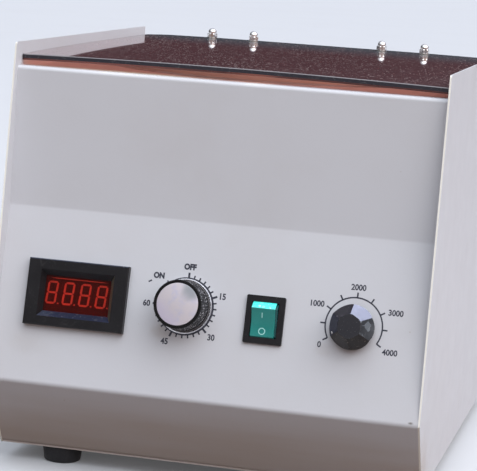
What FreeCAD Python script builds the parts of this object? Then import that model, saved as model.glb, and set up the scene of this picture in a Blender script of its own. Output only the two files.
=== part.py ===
import FreeCAD, Part
import math
import os

os.makedirs("parts", exist_ok=True)

Vec = FreeCAD.Vector
AXIS_X = Vec(1, 0, 0)
AXIS_Y = Vec(0, 1, 0)
AXIS_Z = Vec(0, 0, 1)

# All sizes are in millimetres. X runs to the right, Y to the back and Z up.
# The pieces are built with Y = 0 at the chin's corner and Z = 0 at the floor, and are then
# moved together along Y, so that the origin is under the middle of the whole box.

# Case
CASE_W = 288.0
CASE_D = 372.0
SHEET = 1.2
BASE_T = 1.5
FOOT_H = 12.0
CHIN_H = 50.5
CHIN_SET = 33.6
BEND_H = 163.8
BEND_Y = 26.5
TOP_H = 255.4
TOP_Y = 29.1
WALL_H = 270.9
WALL_Y = 25.8
WALL_STEP = 41.0
TOP_FOLD_R = 2.4
BEND_R = 7.0
CHIN_R = 4.0
LIP_L = 18.0
FLANGE = 14.0
JOIN_GAP = 0.2
CORNER_R = 3.0
BASE_SCREW_INSET = 45.0

# Lid and its hinges
LID_T = 4.0
LID_GAP = 4.4
LID_SETBACK = 7.2
LID_OVERHANG = 1.0
LID_SIDE_GAP = 0.6
LID_CORNER_R = 2.0
HINGE_X = (-77.0, 61.0)
HINGE_L = 50.0
HINGE_T = 1.2
HINGE_GAP = 0.3
KNUCKLE_R = 2.6
KNUCKLES = 5
PIN_R = 1.4
LID_LEAF_L = 27.0
CASE_LEAF_L = 26.0
NUT_SPACING = 34.0
NUT_INSET = 15.0

# Fasteners
M4_R = 2.0
M4_HEAD_R = 3.6
M4_HEAD_H = 2.2
M4_REACH = 6.0
FOOT_SCREW_REACH = 3.0
M3_R = 1.5
M3_HEAD_R = 2.8
M3_HEAD_H = 1.7
M3_LENGTH = 6.0
SCREW_GAP = 0.2
THREAD_GAP = 0.05
ACORN_AF = 7.0
ACORN_HEX_H = 3.2
ACORN_H = 7.3
ACORN_DOME_R = 3.2
ACORN_DEPTH = 6.0
WASHER_R = 4.0
WASHER_T = 0.8

# Feet
FOOT_INSET = 38.5
FOOT_FRONT_SET = 17.4
FOOT_BACK_SET = 42.0
FOOT_TOP_R = 14.0
FOOT_BOTTOM_R = 12.2
FOOT_SOLE = 5.5
FOOT_WELL_R = 5.0

# Chamber
ROTOR_BACK = 4.0
BOWL_R = 118.0
BOWL_FLANGE = 10.0
BOWL_FLOOR_R = 14.0
COLLAR_R = 22.0
COLLAR_H = 6.0
GASKET_W = 5.0
SOFT_GAP = 0.3

# Rotor
TUBES = 8
TUBE_TILT = 35.0
TUBE_BORE_R = 10.6
SLEEVE_WALL = 1.0
SLEEVE_L = 92.0
SLEEVE_LIP_R = 14.0
SLEEVE_LIP_T = 1.5
SLEEVE_GAP = 0.15
MOUTH_R = 46.0
MOUTH_RISE = 80.0
MOUTH_DROP = 24.4
HEAD_T = 10.0
HEAD_EDGE = 3.0
SKIRT_T = 2.0
SKIRT_L = 55.0
SKIRT_RISE = 2.0
HUB_R = 16.0
HUB_STRAIGHT = 42.0
HUB_H = 59.0
HUB_TOP_R = 20.0
HUB_SEAT_H = 42.0
ROTOR_NUT_R = 13.0
ROTOR_NUT_H = 16.0
THREAD_R = 4.0
THREAD_L = 10.0

# Motor
DAMPER_H = 23.0
DAMPER_R = 13.0
DAMPER_WAIST_R = 10.0
DAMPER_X = 50.0
DAMPER_BOLT_R = 3.0
DAMPER_NUT_AF = 10.0
DAMPER_NUT_H = 5.0
MOUNT_T = 3.0
MOUNT_W = 130.0
MOUNT_HOLE_R = 30.0
MOTOR_R = 46.0
MOTOR_WALL = 2.0
BOTTOM_BELL_SHARE = 0.262
TOP_BELL_SHARE = 0.16
BELL_FLOOR = 4.0
BOSS_R = 18.0
BOSS_H = 10.0
BEARING_R = 13.0
BEARING_H = 9.0
SHAFT_R = 5.0
RUN_GAP = 0.05
AIR_GAP = 0.6
STACK_R = 28.0
STACK_SHARE = 0.3
COIL_SHARE = 0.064
COMMUTATOR_R = 13.0
COMMUTATOR_SHARE = 0.15
BRUSH_R = 3.5
BRUSH_L = 17.0
BRUSH_HOLDER_R = 5.5
BRUSH_CAP_R = 7.0
MOTOR_BOLT_PCR = 37.0
FAN_R = 35.0
FAN_SHARE = 0.096
FAN_BLADES = 10
MAGNET_R = 10.0
MAGNET_H = 6.0
SHAFT_TAIL = 18.0
SENSOR_GAP = 0.8
SENSOR_L = 8.0
SENSOR_FOOT_L = 16.0
SENSOR_W = 12.0
BOWL_TO_BOSS = 1.8
HUB_LIFT = 17.0

# Controls: X is across the case, and DROP is down the control face from the bend
METER_X = -89.0
METER_DROP = 56.1
METER_W = 68.0
METER_H = 43.8
METER_T = 5.0
METER_CASE_W = 63.0
METER_CASE_H = 39.0
METER_CASE_D = 48.0
METER_WALL = 1.6
WINDOW_W = 50.0
WINDOW_H = 31.0
WINDOW_DOWN = 0.3
DIGITS_UP = 0.8
PANE_W = 44.5
PANE_H = 23.5
PANE_T = 1.5
DIGITS = 4
DIGIT_PITCH = 11.3
DIGIT_W = 7.3
DIGIT_H = 15.2
DIGIT_SLANT = 4.0
SEGMENT_W = 1.3
TIMER_X = -15.8
TIMER_DROP = 55.8
TIMER_BODY = 48.0
TIMER_BODY_D = 30.0
TIMER_KNOB_R = 18.0
TIMER_GRIP_R = 17.2
TIMER_TOP_R = 15.7
TIMER_CAP_R = 13.7
TIMER_CAP_T = 1.0
TIMER_KNOB_H = 22.2
TIMER_FLANGE_T = 1.6
SWITCH_X = 37.4
SWITCH_DROP = 59.3
SWITCH_W = 25.4
SWITCH_H = 31.0
SWITCH_T = 2.0
SWITCH_BODY_W = 22.0
SWITCH_BODY_H = 29.0
SWITCH_BODY_D = 24.0
ROCKER_W = 17.0
ROCKER_R = 13.4
ROCKER_TILT = 22.0
ROCKER_VERTEX = 7.85
ROCKER_PROUD = 0.3
ROCKER_GAP = 0.3
ROCKER_PIN_R = 2.0
SPEED_X = 95.2
SPEED_DROP = 57.9
SPEED_KNOB_R = 12.6
SPEED_NECK_R = 16.5
SPEED_TOP_R = 7.4
SPEED_KNOB_H = 18.2
SPEED_FACETS = 6
SPEED_SLOPE = 60.0
SPEED_TURN = 55.0
SPEED_BODY_R = 12.0
SPEED_BODY_D = 14.0
BUSHING_R = 4.5
BUSHING_H = 4.4
BUSHING_NUT_AF = 12.0
BUSHING_NUT_H = 2.2
SPINDLE_R = 3.0
KNOB_LIFT = 0.8
KNOB_WELL_R = 8.5
KNOB_TOP_T = 3.0

# Back of the case
INLET_X = -88.0
INLET_H = 52.0
INLET_FLANGE_W = 50.0
INLET_FLANGE_H = 28.0
INLET_FLANGE_T = 3.0
INLET_BODY_W = 28.0
INLET_BODY_H = 20.0
INLET_BODY_D = 20.0
INLET_WELL_W = 24.4
INLET_WELL_H = 16.8
INLET_WELL_D = 16.0
INLET_SCREW_X = 20.0
PIN_W = 2.0
PIN_H = 4.0
PIN_X = 7.0
PIN_UP = 4.0
PIN_L = 13.0
PIN_TAIL = 8.0
FUSE_X = -40.0
FUSE_R = 6.2
FUSE_FLANGE_R = 9.0
FUSE_FLANGE_T = 2.0
FUSE_D = 26.0
FUSE_BORE_R = 4.0
FUSE_CAP_R = 7.0
FUSE_CAP_H = 7.0
FUSE_STEM_L = 18.0
REAR_SCREW_INSET = 7.0
REAR_SCREW_LOW = 30.0
REAR_SCREW_DOWN = 32.0
VENT_W = 3.0
VENT_L = 42.0
VENT_PITCH = 7.0
VENTS = 9

# Control board
BOARD_SIDE_GAP = 22.0
BOARD_BACK_GAP = 27.0
BOARD_W = 52.0
BOARD_L = 90.0
BOARD_T = 1.6
SPACER_H = 10.0
SPACER_R = 3.0
SPACER_INSET = 5.0
CAPACITOR_R = 8.0
CAPACITOR_H = 24.0
SMALL_CAPACITOR_R = 5.0
SMALL_CAPACITOR_H = 14.0
CHOKE_R = 11.0
CHOKE_BORE_R = 5.0
CHOKE_H = 9.0
TERMINAL_W = 30.0
TERMINAL_L = 10.0
TERMINAL_H = 12.0
SINK_W = 16.0
SINK_L = 50.0
SINK_H = 28.0
SINK_FINS = 5

# Places worked out from the sizes
BASE_TOP = FOOT_H + BASE_T
PANEL_TOP = FOOT_H + TOP_H
DECK_TOP = PANEL_TOP - SHEET
LID_UNDER = PANEL_TOP + LID_GAP
INSIDE_X = CASE_W / 2 - SHEET
REAR_IN = CASE_D - SHEET
WALL_END = CASE_D - WALL_STEP
LID_FRONT = TOP_Y + LID_SETBACK
LID_BACK = CASE_D + LID_OVERHANG
NUT_Y = CASE_D - NUT_INSET
HINGE_Y = CASE_D + HINGE_GAP + KNUCKLE_R
HINGE_Z = LID_UNDER - HINGE_GAP - KNUCKLE_R
FOOT_X = CASE_W / 2 - FOOT_INSET
FOOT_FRONT_Y = CHIN_SET + FOOT_FRONT_SET
FOOT_BACK_Y = CASE_D - FOOT_BACK_SET
ROTOR_Y = CASE_D / 2 + ROTOR_BACK
MOUTH_Z = PANEL_TOP - MOUTH_DROP
HUB_Z = MOUTH_Z - MOUTH_RISE
BOWL_FLOOR_Z = HUB_Z - HUB_LIFT
BOSS_Z = BOWL_FLOOR_Z - SHEET - BOWL_TO_BOSS - BOSS_H
MOUNT_Z = BASE_TOP + DAMPER_H
MOTOR_Z = MOUNT_Z + MOUNT_T
MOTOR_H = BOSS_Z - MOTOR_Z
BOTTOM_BELL_H = MOTOR_H * BOTTOM_BELL_SHARE
TOP_BELL_H = MOTOR_H * TOP_BELL_SHARE
CAN_H = MOTOR_H - BOTTOM_BELL_H - TOP_BELL_H
STACK_H = MOTOR_H * STACK_SHARE
COIL_H = MOTOR_H * COIL_SHARE
COMMUTATOR_H = MOTOR_H * COMMUTATOR_SHARE
FAN_H = MOTOR_H * FAN_SHARE
CAN_Z = MOTOR_Z + BOTTOM_BELL_H
TOP_BELL_Z = CAN_Z + CAN_H
SEAT_Z = HUB_Z + HUB_SEAT_H
HUB_TOP = HUB_Z + HUB_H
SLEEVE_R = TUBE_BORE_R + SLEEVE_WALL
STACK_Z = CAN_Z + (CAN_H - STACK_H) / 2 - COIL_H / 2
MOTOR_BORE = MOTOR_R - MOTOR_WALL
BOARD_X = CASE_W / 2 - BOARD_SIDE_GAP - BOARD_W / 2
BOARD_Y = CASE_D - BOARD_BACK_GAP - BOARD_L / 2
CONTROL_TILT = math.degrees(math.atan2(BEND_Y, BEND_H - CHIN_H))
CONTROL_FACE = FreeCAD.Placement(Vec(0, BEND_Y, FOOT_H + BEND_H),
                                 FreeCAD.Rotation(AXIS_X, 90 - CONTROL_TILT))

pieces = {}


def box(x0, x1, y0, y1, z0, z1):
    """Box between two corners."""
    return Part.makeBox(x1 - x0, y1 - y0, z1 - z0, Vec(x0, y0, z0))


def block(width, height, low, high):
    """Box centred on the Z axis, from low to high."""
    return box(-width / 2, width / 2, -height / 2, height / 2, low, high)


def disc(radius, low, high):
    """Cylinder on the Z axis."""
    return Part.makeCylinder(radius, high - low, Vec(0, 0, low), AXIS_Z)


def ring(outer, inner, low, high):
    """Tube on the Z axis."""
    return disc(outer, low, high).cut(disc(inner, low - 1, high + 1))


def prism(sides, across_flats, low, high):
    """Regular prism on the Z axis."""
    corner = across_flats / 2 / math.cos(math.pi / sides)
    turns = [2 * math.pi * k / sides for k in range(sides + 1)]
    points = [Vec(corner * math.cos(t), corner * math.sin(t), low) for t in turns]
    return Part.Face(Part.makePolygon(points)).extrude(Vec(0, 0, high - low))


def spun(points):
    """Solid of revolution about Z of a closed outline of (radius, height) points."""
    outline = [Vec(r, 0, z) for r, z in points]
    face = Part.Face(Part.makePolygon(outline + outline[:1]))
    return face.revolve(Vec(0, 0, 0), AXIS_Z, 360)


def upright_edges(shape):
    """Edges that run along Z."""
    found = []
    for edge in shape.Edges:
        ends = [vertex.Point for vertex in edge.Vertexes]
        if len(ends) == 2 and (ends[1] - ends[0]).cross(AXIS_Z).Length < 1e-6:
            found.append(edge)
    return found


def rounded(shape, radius):
    """The shape with its upright edges rounded."""
    return shape.makeFillet(radius, upright_edges(shape))


def moved(shape, x=0.0, y=0.0, z=0.0):
    """Copy of the shape at another place."""
    return shape.translated(Vec(x, y, z))


def aimed(shape, place, direction):
    """Copy of the shape whose Z axis points along direction, with its origin at place."""
    copy = shape.copy()
    copy.Placement = FreeCAD.Placement(place, FreeCAD.Rotation(AXIS_Z, direction))
    return copy


def on_face(shape, x, drop):
    """Copy of the shape on the control face: its Z axis points out of the panel."""
    copy = moved(shape, x, -drop, 0)
    copy.Placement = CONTROL_FACE.multiply(copy.Placement)
    return copy


def at_rotor(shape):
    """Copy of the shape on the rotor's axis."""
    return moved(shape, 0, ROTOR_Y, 0)


def around(shape, count):
    """Copies of the shape turned evenly about Z."""
    copies = []
    for k in range(count):
        copy = shape.copy()
        copy.rotate(Vec(0, 0, 0), AXIS_Z, 360.0 * k / count)
        copies.append(copy)
    return copies


def fused(shapes):
    """One solid from several that touch or overlap."""
    whole = shapes[0]
    for shape in shapes[1:]:
        whole = whole.fuse(shape)
    return whole.removeSplitter()


def path_edges(points, radii):
    """Lines and tangent arcs along points, with one radius for each inner corner."""
    edges = []
    start = points[0]
    for before, corner, after, radius in zip(points, points[1:], points[2:], radii):
        back = (before - corner).normalize()
        ahead = (after - corner).normalize()
        half = back.getAngle(ahead) / 2
        trim = radius / math.tan(half)
        middle = corner + (back + ahead).normalize() * (radius / math.sin(half) - radius)
        edges.append(Part.LineSegment(start, corner + back * trim).toShape())
        edges.append(Part.Arc(corner + back * trim, middle, corner + ahead * trim).toShape())
        start = corner + ahead * trim
    edges.append(Part.LineSegment(start, points[-1]).toShape())
    return edges


def sheet_section(points, radii, normal):
    """Section of a bent sheet whose visible side follows points, with the metal on their left."""
    ways = [(b - a).normalize() for a, b in zip(points, points[1:])]
    lefts = [normal.cross(way) for way in ways]
    hidden = [points[0] + lefts[0] * SHEET]
    hidden_radii = []
    for k, radius in enumerate(radii):
        both = lefts[k] + lefts[k + 1]
        hidden.append(points[k + 1] + both * (SHEET / (1 + lefts[k].dot(lefts[k + 1]))))
        turns_left = normal.dot(ways[k].cross(ways[k + 1])) > 0
        hidden_radii.append(radius - SHEET if turns_left else radius + SHEET)
    hidden.append(points[-1] + lefts[-1] * SHEET)
    edges = path_edges(points, radii) + path_edges(hidden, hidden_radii)
    for seen, unseen in ((points[0], hidden[0]), (points[-1], hidden[-1])):
        edges.append(Part.LineSegment(seen, unseen).toShape())
    return Part.Face(Part.Wire(Part.sortEdges(edges)[0]))


def closed_outline(points, radii):
    """Face inside a closed outline with rounded corners; a radius of 0 is a sharp corner."""
    edges = []
    count = len(points)
    ends = []
    for k, corner in enumerate(points):
        back = (points[k - 1] - corner).normalize()
        ahead = (points[(k + 1) % count] - corner).normalize()
        half = back.getAngle(ahead) / 2
        trim = radii[k] / math.tan(half)
        ends.append((corner + back * trim, corner + ahead * trim))
        if radii[k] > 0:
            depth = radii[k] / math.sin(half) - radii[k]
            middle = corner + (back + ahead).normalize() * depth
            edges.append(Part.Arc(ends[k][0], middle, ends[k][1]).toShape())
    for k in range(count):
        edges.append(Part.LineSegment(ends[k - 1][1], ends[k][0]).toShape())
    return Part.Face(Part.Wire(Part.sortEdges(edges)[0]))


def pan_screw(radius, head_r, head_h, length):
    """Screw whose head stands on Z = 0 and whose shank runs down."""
    head = disc(head_r, 0, head_h)
    head = head.makeFillet(head_h * 0.45, [head.Edges[0]])
    return head.fuse(disc(radius, -length, 0)).removeSplitter()


def rear_screw_places():
    """Where the rear panel is screwed to the side panels."""
    heights = (FOOT_H + REAR_SCREW_LOW, FOOT_H + TOP_H / 2, DECK_TOP - REAR_SCREW_DOWN)
    return [(side * (INSIDE_X - REAR_SCREW_INSET), z) for side in (-1, 1) for z in heights]


def base_screw_places():
    """Where the base plate is screwed to the side panels."""
    depths = (CHIN_SET + BASE_SCREW_INSET, ROTOR_Y, CASE_D - BASE_SCREW_INSET)
    return [(side * (INSIDE_X - FLANGE / 2), y) for side in (-1, 1) for y in depths]


def foot_places():
    """Centres of the feet."""
    return [(side * FOOT_X, y) for side in (-1, 1) for y in (FOOT_FRONT_Y, FOOT_BACK_Y)]


def nut_places():
    """Centres of the four nuts on the lid."""
    return [(x + side * NUT_SPACING / 2, NUT_Y) for x in HINGE_X for side in (-1, 1)]


def leaf_screw_places():
    """Where the case leaves of the hinges are screwed to the rear panel."""
    height = HINGE_Z - KNUCKLE_R - HINGE_GAP - CASE_LEAF_L * 0.6
    return [(x + side * NUT_SPACING / 2, height) for x in HINGE_X for side in (-1, 1)]


def side_panels():
    """Two flat side panels with flanges for the base plate and the rear panel."""
    outline = [Vec(0, CHIN_SET, FOOT_H), Vec(0, 0, FOOT_H + CHIN_H),
               Vec(0, WALL_Y, FOOT_H + WALL_H), Vec(0, WALL_END, FOOT_H + WALL_H),
               Vec(0, WALL_END, PANEL_TOP), Vec(0, CASE_D, PANEL_TOP), Vec(0, CASE_D, FOOT_H)]
    face = closed_outline(outline, (0, 1.0, 1.5, 1.5, CORNER_R, CORNER_R, 0))
    flange_x = INSIDE_X - FLANGE
    for name, side in (("side_panel_left", -1), ("side_panel_right", 1)):
        sheet = moved(face, side * INSIDE_X).extrude(Vec(side * SHEET, 0, 0))
        low, high = sorted((side * flange_x, side * (INSIDE_X + SHEET / 2)))
        foot = box(low, high, CHIN_SET + FLANGE * 2, REAR_IN - SHEET, BASE_TOP, BASE_TOP + SHEET)
        back = box(low, high, REAR_IN - SHEET, REAR_IN, BASE_TOP + FLANGE, DECK_TOP - 5)
        panel = fused([sheet, foot, back])
        for x, y in base_screw_places():
            panel = panel.cut(moved(disc(M4_R + THREAD_GAP, FOOT_H, PANEL_TOP), x, y))
        for x, z in rear_screw_places():
            hole = aimed(disc(M3_R + THREAD_GAP, -FLANGE, FLANGE), Vec(x, REAR_IN, z), AXIS_Y)
            panel = panel.cut(hole)
        pieces[name] = panel


def front_panel():
    """Folded front: lip under the lid, upper face, control face and chin."""
    bottom_y = CHIN_SET * (1 - BASE_T / CHIN_H)
    path = [Vec(0, TOP_Y + LIP_L, PANEL_TOP), Vec(0, TOP_Y, PANEL_TOP),
            Vec(0, BEND_Y, FOOT_H + BEND_H), Vec(0, 0, FOOT_H + CHIN_H),
            Vec(0, bottom_y, BASE_TOP), Vec(0, bottom_y + FLANGE, BASE_TOP)]
    section = sheet_section(path, (TOP_FOLD_R, BEND_R, CHIN_R, TOP_FOLD_R), AXIS_X)
    panel = moved(section, -INSIDE_X).extrude(Vec(2 * INSIDE_X, 0, 0))
    deep = 2 * SHEET
    meter_hole = block(METER_CASE_W + 2 * JOIN_GAP, METER_CASE_H + 2 * JOIN_GAP, -deep, deep)
    switch_hole = block(SWITCH_BODY_W + 2 * JOIN_GAP, SWITCH_BODY_H + 2 * JOIN_GAP, -deep, deep)
    bushing_hole = disc(BUSHING_R + SCREW_GAP, -deep, deep)
    panel = panel.cut(on_face(meter_hole, METER_X, METER_DROP))
    panel = panel.cut(on_face(switch_hole, SWITCH_X, SWITCH_DROP))
    panel = panel.cut(on_face(bushing_hole, TIMER_X, TIMER_DROP))
    panel = panel.cut(on_face(bushing_hole, SPEED_X, SPEED_DROP))
    pieces["front_panel"] = panel


def top_deck():
    """Deck under the lid with the round opening of the chamber."""
    front = TOP_Y + 2 * SHEET
    back = REAR_IN
    plate = box(-INSIDE_X, INSIDE_X, front, back, DECK_TOP - SHEET, DECK_TOP)
    rails = []
    for side in (-1, 1):
        low, high = sorted((side * INSIDE_X, side * (INSIDE_X - SHEET)))
        rails.append(box(low, high, front + FLANGE, REAR_IN - 2 * SHEET, DECK_TOP - FLANGE, DECK_TOP - SHEET))
    deck = fused([plate] + rails)
    pieces["top_deck"] = deck.cut(at_rotor(disc(BOWL_R + TOP_FOLD_R + JOIN_GAP, 0, PANEL_TOP)))


def rear_panel():
    """Flat rear panel with vents and cut-outs for the inlet, the fuse and the hinge screws."""
    wide = INSIDE_X - JOIN_GAP
    panel = box(-wide, wide, REAR_IN, CASE_D, BASE_TOP, DECK_TOP)
    inlet_hole = block(INLET_BODY_W + 2 * JOIN_GAP, INLET_BODY_H + 2 * JOIN_GAP, -FLANGE, FLANGE)
    panel = panel.cut(aimed_back(inlet_hole, INLET_X, INLET_H))
    panel = panel.cut(aimed_back(disc(FUSE_R + SCREW_GAP, -FLANGE, FLANGE), FUSE_X, INLET_H))
    m3_hole = disc(M3_R + SCREW_GAP, -FLANGE, FLANGE)
    tapped = disc(M3_R + THREAD_GAP, -FLANGE, FLANGE)
    for x, z in rear_screw_places():
        panel = panel.cut(aimed(m3_hole, Vec(x, CASE_D, z), AXIS_Y))
    for x, z in leaf_screw_places():
        panel = panel.cut(aimed(tapped, Vec(x, CASE_D, z), AXIS_Y))
    for side in (-1, 1):
        panel = panel.cut(aimed_back(tapped, INLET_X + side * INLET_SCREW_X, INLET_H))
    middle = (FOOT_H + DECK_TOP) / 2
    slot = box(-VENT_W / 2, VENT_W / 2, REAR_IN - 1, CASE_D + 1, -VENT_L / 2, VENT_L / 2)
    for k in range(VENTS):
        for side in (-1, 1):
            x = side * (BOWL_FLANGE * 2 + VENT_PITCH * k)
            panel = panel.cut(moved(slot, x, 0, middle))
    pieces["rear_panel"] = panel


def aimed_back(shape, x, height):
    """Copy of the shape on the rear panel's outer face: its Z axis points out of the back."""
    turned = shape.copy()
    turned.rotate(Vec(0, 0, 0), AXIS_X, -90)
    return moved(turned, x, CASE_D, FOOT_H + height)


def base_plate():
    """Base plate with holes for the feet, the case screws, the motor dampers and cooling air."""
    front = CHIN_SET + JOIN_GAP
    plate = box(-INSIDE_X, INSIDE_X, front, CASE_D, FOOT_H, BASE_TOP)
    for x, y in base_screw_places():
        plate = plate.cut(moved(disc(M4_R + SCREW_GAP, 0, BASE_TOP + 1), x, y))
    for x, y in foot_places():
        plate = plate.cut(moved(disc(M4_R + THREAD_GAP, 0, BASE_TOP + 1), x, y))
    for x, y in damper_places():
        plate = plate.cut(moved(disc(DAMPER_BOLT_R + SCREW_GAP, 0, BASE_TOP + 1), x, y))
    slot = block(VENT_W, VENT_L, FOOT_H - 1, BASE_TOP + 1)
    for k in range(VENTS):
        plate = plate.cut(moved(slot, VENT_PITCH * (k - (VENTS - 1) / 2), ROTOR_Y + DAMPER_X * 2))
    pieces["base_plate"] = plate


def rubber_feet():
    """Four tapered rubber feet, hollow underneath for their screws."""
    outline = [(M4_R + SCREW_GAP, FOOT_SOLE), (FOOT_WELL_R, FOOT_SOLE), (FOOT_WELL_R, 0),
               (FOOT_BOTTOM_R, 0), (FOOT_TOP_R, FOOT_H), (M4_R + SCREW_GAP, FOOT_H)]
    foot = spun(outline)
    pieces["rubber_feet"] = Part.makeCompound([moved(foot, x, y) for x, y in foot_places()])


def case_screws():
    """M4 screws of the feet and the base plate, and M3 screws at the back."""
    foot_screw = pan_screw(M4_R, M4_HEAD_R, M4_HEAD_H, FOOT_H - FOOT_SOLE + BASE_T + FOOT_SCREW_REACH)
    base_screw = pan_screw(M4_R, M4_HEAD_R, M4_HEAD_H, BASE_T + M4_REACH)
    down = -AXIS_Z
    m4 = [aimed(foot_screw, Vec(x, y, FOOT_SOLE), down) for x, y in foot_places()]
    m4 += [aimed(base_screw, Vec(x, y, FOOT_H), down) for x, y in base_screw_places()]
    pieces["m4_screws"] = Part.makeCompound(m4)
    m3_screw = pan_screw(M3_R, M3_HEAD_R, M3_HEAD_H, M3_LENGTH)
    inlet_z = FOOT_H + INLET_H
    m3 = [aimed(m3_screw, Vec(x, CASE_D, z), AXIS_Y) for x, z in rear_screw_places()]
    m3 += [aimed(m3_screw, Vec(x, CASE_D + HINGE_T, z), AXIS_Y) for x, z in leaf_screw_places()]
    for side in (-1, 1):
        seat = Vec(INLET_X + side * INLET_SCREW_X, CASE_D + INLET_FLANGE_T, inlet_z)
        m3.append(aimed(m3_screw, seat, AXIS_Y))
    pieces["m3_screws"] = Part.makeCompound(m3)


def knuckles(x, owner):
    """Knuckles of one hinge leaf: even ones belong to the case leaf, odd ones to the lid leaf."""
    pitch = HINGE_L / KNUCKLES
    found = []
    for k in range(KNUCKLES):
        if k % 2 == owner:
            low = x - HINGE_L / 2 + k * pitch + HINGE_GAP / 2
            found.append((low, low + pitch - HINGE_GAP))
    return found


def hinges():
    """Two butt hinges: lid leaves, case leaves and pins."""
    lid_leaves = []
    case_leaves = []
    pins = []
    clear_y = HINGE_Y - KNUCKLE_R - HINGE_GAP
    clear_z = HINGE_Z - KNUCKLE_R - HINGE_GAP
    for x in HINGE_X:
        x0 = x - HINGE_L / 2
        x1 = x + HINGE_L / 2
        bore = aimed(disc(PIN_R + RUN_GAP, 0, HINGE_L + 2), Vec(x0 - 1, HINGE_Y, HINGE_Z), AXIS_X)
        lid_leaf = [box(x0, x1, HINGE_Y - LID_LEAF_L, clear_y, LID_UNDER - HINGE_T, LID_UNDER)]
        for low, high in knuckles(x, 1):
            barrel = aimed(disc(KNUCKLE_R, 0, high - low), Vec(low, HINGE_Y, HINGE_Z), AXIS_X)
            tongue = box(low, high, clear_y - 1, HINGE_Y, LID_UNDER - HINGE_T, LID_UNDER - HINGE_GAP)
            lid_leaf += [barrel, tongue]
        case_leaf = [box(x0, x1, CASE_D, CASE_D + HINGE_T, clear_z - CASE_LEAF_L, clear_z)]
        for low, high in knuckles(x, 0):
            barrel = aimed(disc(KNUCKLE_R, 0, high - low), Vec(low, HINGE_Y, HINGE_Z), AXIS_X)
            tongue = box(low, high, CASE_D + HINGE_GAP, CASE_D + HINGE_T, clear_z - 1, HINGE_Z)
            case_leaf += [barrel, tongue]
        lid_leaves.append(fused(lid_leaf).cut(bore))
        case_leaves.append(fused(case_leaf).cut(bore))
        pins.append(aimed(disc(PIN_R, 0, HINGE_L), Vec(x0, HINGE_Y, HINGE_Z), AXIS_X))
    hole = disc(M4_R + SCREW_GAP, 0, 2 * LID_UNDER)
    m3_hole = disc(M3_R + SCREW_GAP, -FLANGE, FLANGE)
    lid_set = Part.makeCompound(lid_leaves)
    case_set = Part.makeCompound(case_leaves)
    for x, y in nut_places():
        lid_set = lid_set.cut(moved(hole, x, y))
    for x, z in leaf_screw_places():
        case_set = case_set.cut(aimed(m3_hole, Vec(x, CASE_D, z), AXIS_Y))
    pieces["lid_hinge_leaves"] = lid_set
    pieces["case_hinge_leaves"] = case_set
    pieces["hinge_pins"] = Part.makeCompound(pins)


def lid():
    """Tinted lid plate with the screws, washers and acorn nuts that hold its hinges."""
    wide = INSIDE_X - LID_SIDE_GAP
    plate = rounded(box(-wide, wide, LID_FRONT, LID_BACK, LID_UNDER, LID_UNDER + LID_T), LID_CORNER_R)
    for x, y in nut_places():
        plate = plate.cut(moved(disc(M4_R + SCREW_GAP, 0, 2 * LID_UNDER), x, y))
    pieces["lid_panel"] = plate
    lid_top = LID_UNDER + LID_T
    hexagon = prism(6, ACORN_AF, 0, ACORN_HEX_H)
    dome_base = ACORN_H - ACORN_DOME_R
    nut = fused([hexagon, disc(ACORN_DOME_R, 0, dome_base), moved(Part.makeSphere(ACORN_DOME_R), 0, 0, dome_base)])
    nut = nut.cut(disc(M4_R + THREAD_GAP, -1, ACORN_DEPTH))
    washer = ring(WASHER_R, M4_R + SCREW_GAP, 0, WASHER_T)
    shank = HINGE_T + LID_T + WASHER_T + ACORN_DEPTH - 1
    screw = pan_screw(M4_R, M4_HEAD_R, M4_HEAD_H, shank)
    nuts = []
    washers = []
    screws = []
    for x, y in nut_places():
        nuts.append(moved(nut, x, y, lid_top + WASHER_T))
        washers.append(moved(washer, x, y, lid_top))
        screws.append(aimed(screw, Vec(x, y, LID_UNDER - HINGE_T), -AXIS_Z))
    pieces["lid_nuts"] = Part.makeCompound(nuts)
    pieces["lid_washers"] = Part.makeCompound(washers)
    pieces["lid_screws"] = Part.makeCompound(screws)


def chamber():
    """Round chamber bowl, the gasket on its flange and the rubber boot in its floor."""
    flange_r = BOWL_R + BOWL_FLANGE
    path = [Vec(flange_r, 0, PANEL_TOP), Vec(BOWL_R, 0, PANEL_TOP), Vec(BOWL_R, 0, BOWL_FLOOR_Z),
            Vec(COLLAR_R, 0, BOWL_FLOOR_Z), Vec(COLLAR_R, 0, BOWL_FLOOR_Z + COLLAR_H)]
    section = sheet_section(path, (TOP_FOLD_R, BOWL_FLOOR_R, TOP_FOLD_R), -AXIS_Y)
    pieces["chamber_bowl"] = at_rotor(section.revolve(Vec(0, 0, 0), AXIS_Z, 360))
    gasket_r = BOWL_R + (BOWL_FLANGE + GASKET_W) / 2
    gasket = ring(gasket_r, gasket_r - GASKET_W, PANEL_TOP, LID_UNDER - SOFT_GAP)
    pieces["chamber_gasket"] = at_rotor(gasket)
    collar_in = COLLAR_R - SHEET - SOFT_GAP
    collar_top = BOWL_FLOOR_Z + COLLAR_H + SOFT_GAP
    boot_low = BOWL_FLOOR_Z - SHEET
    shaft_hole = SHAFT_R + 2 * SHEET
    outline = [(collar_in - 2, boot_low), (collar_in, boot_low), (collar_in, collar_top),
               (COLLAR_R + 2, collar_top), (COLLAR_R + 2, collar_top + 2), (shaft_hole, collar_top + 2),
               (shaft_hole, collar_top), (collar_in - 2, collar_top)]
    pieces["shaft_boot"] = at_rotor(spun(outline))


def seat_point(offset, depth):
    """Point beside a tube's axis: offset is square to the axis, depth is down it from the mouth."""
    tilt = math.radians(TUBE_TILT)
    radius = MOUTH_R + offset * math.cos(tilt) + depth * math.sin(tilt)
    height = MOUTH_Z + offset * math.sin(tilt) - depth * math.cos(tilt)
    return radius, height


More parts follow.
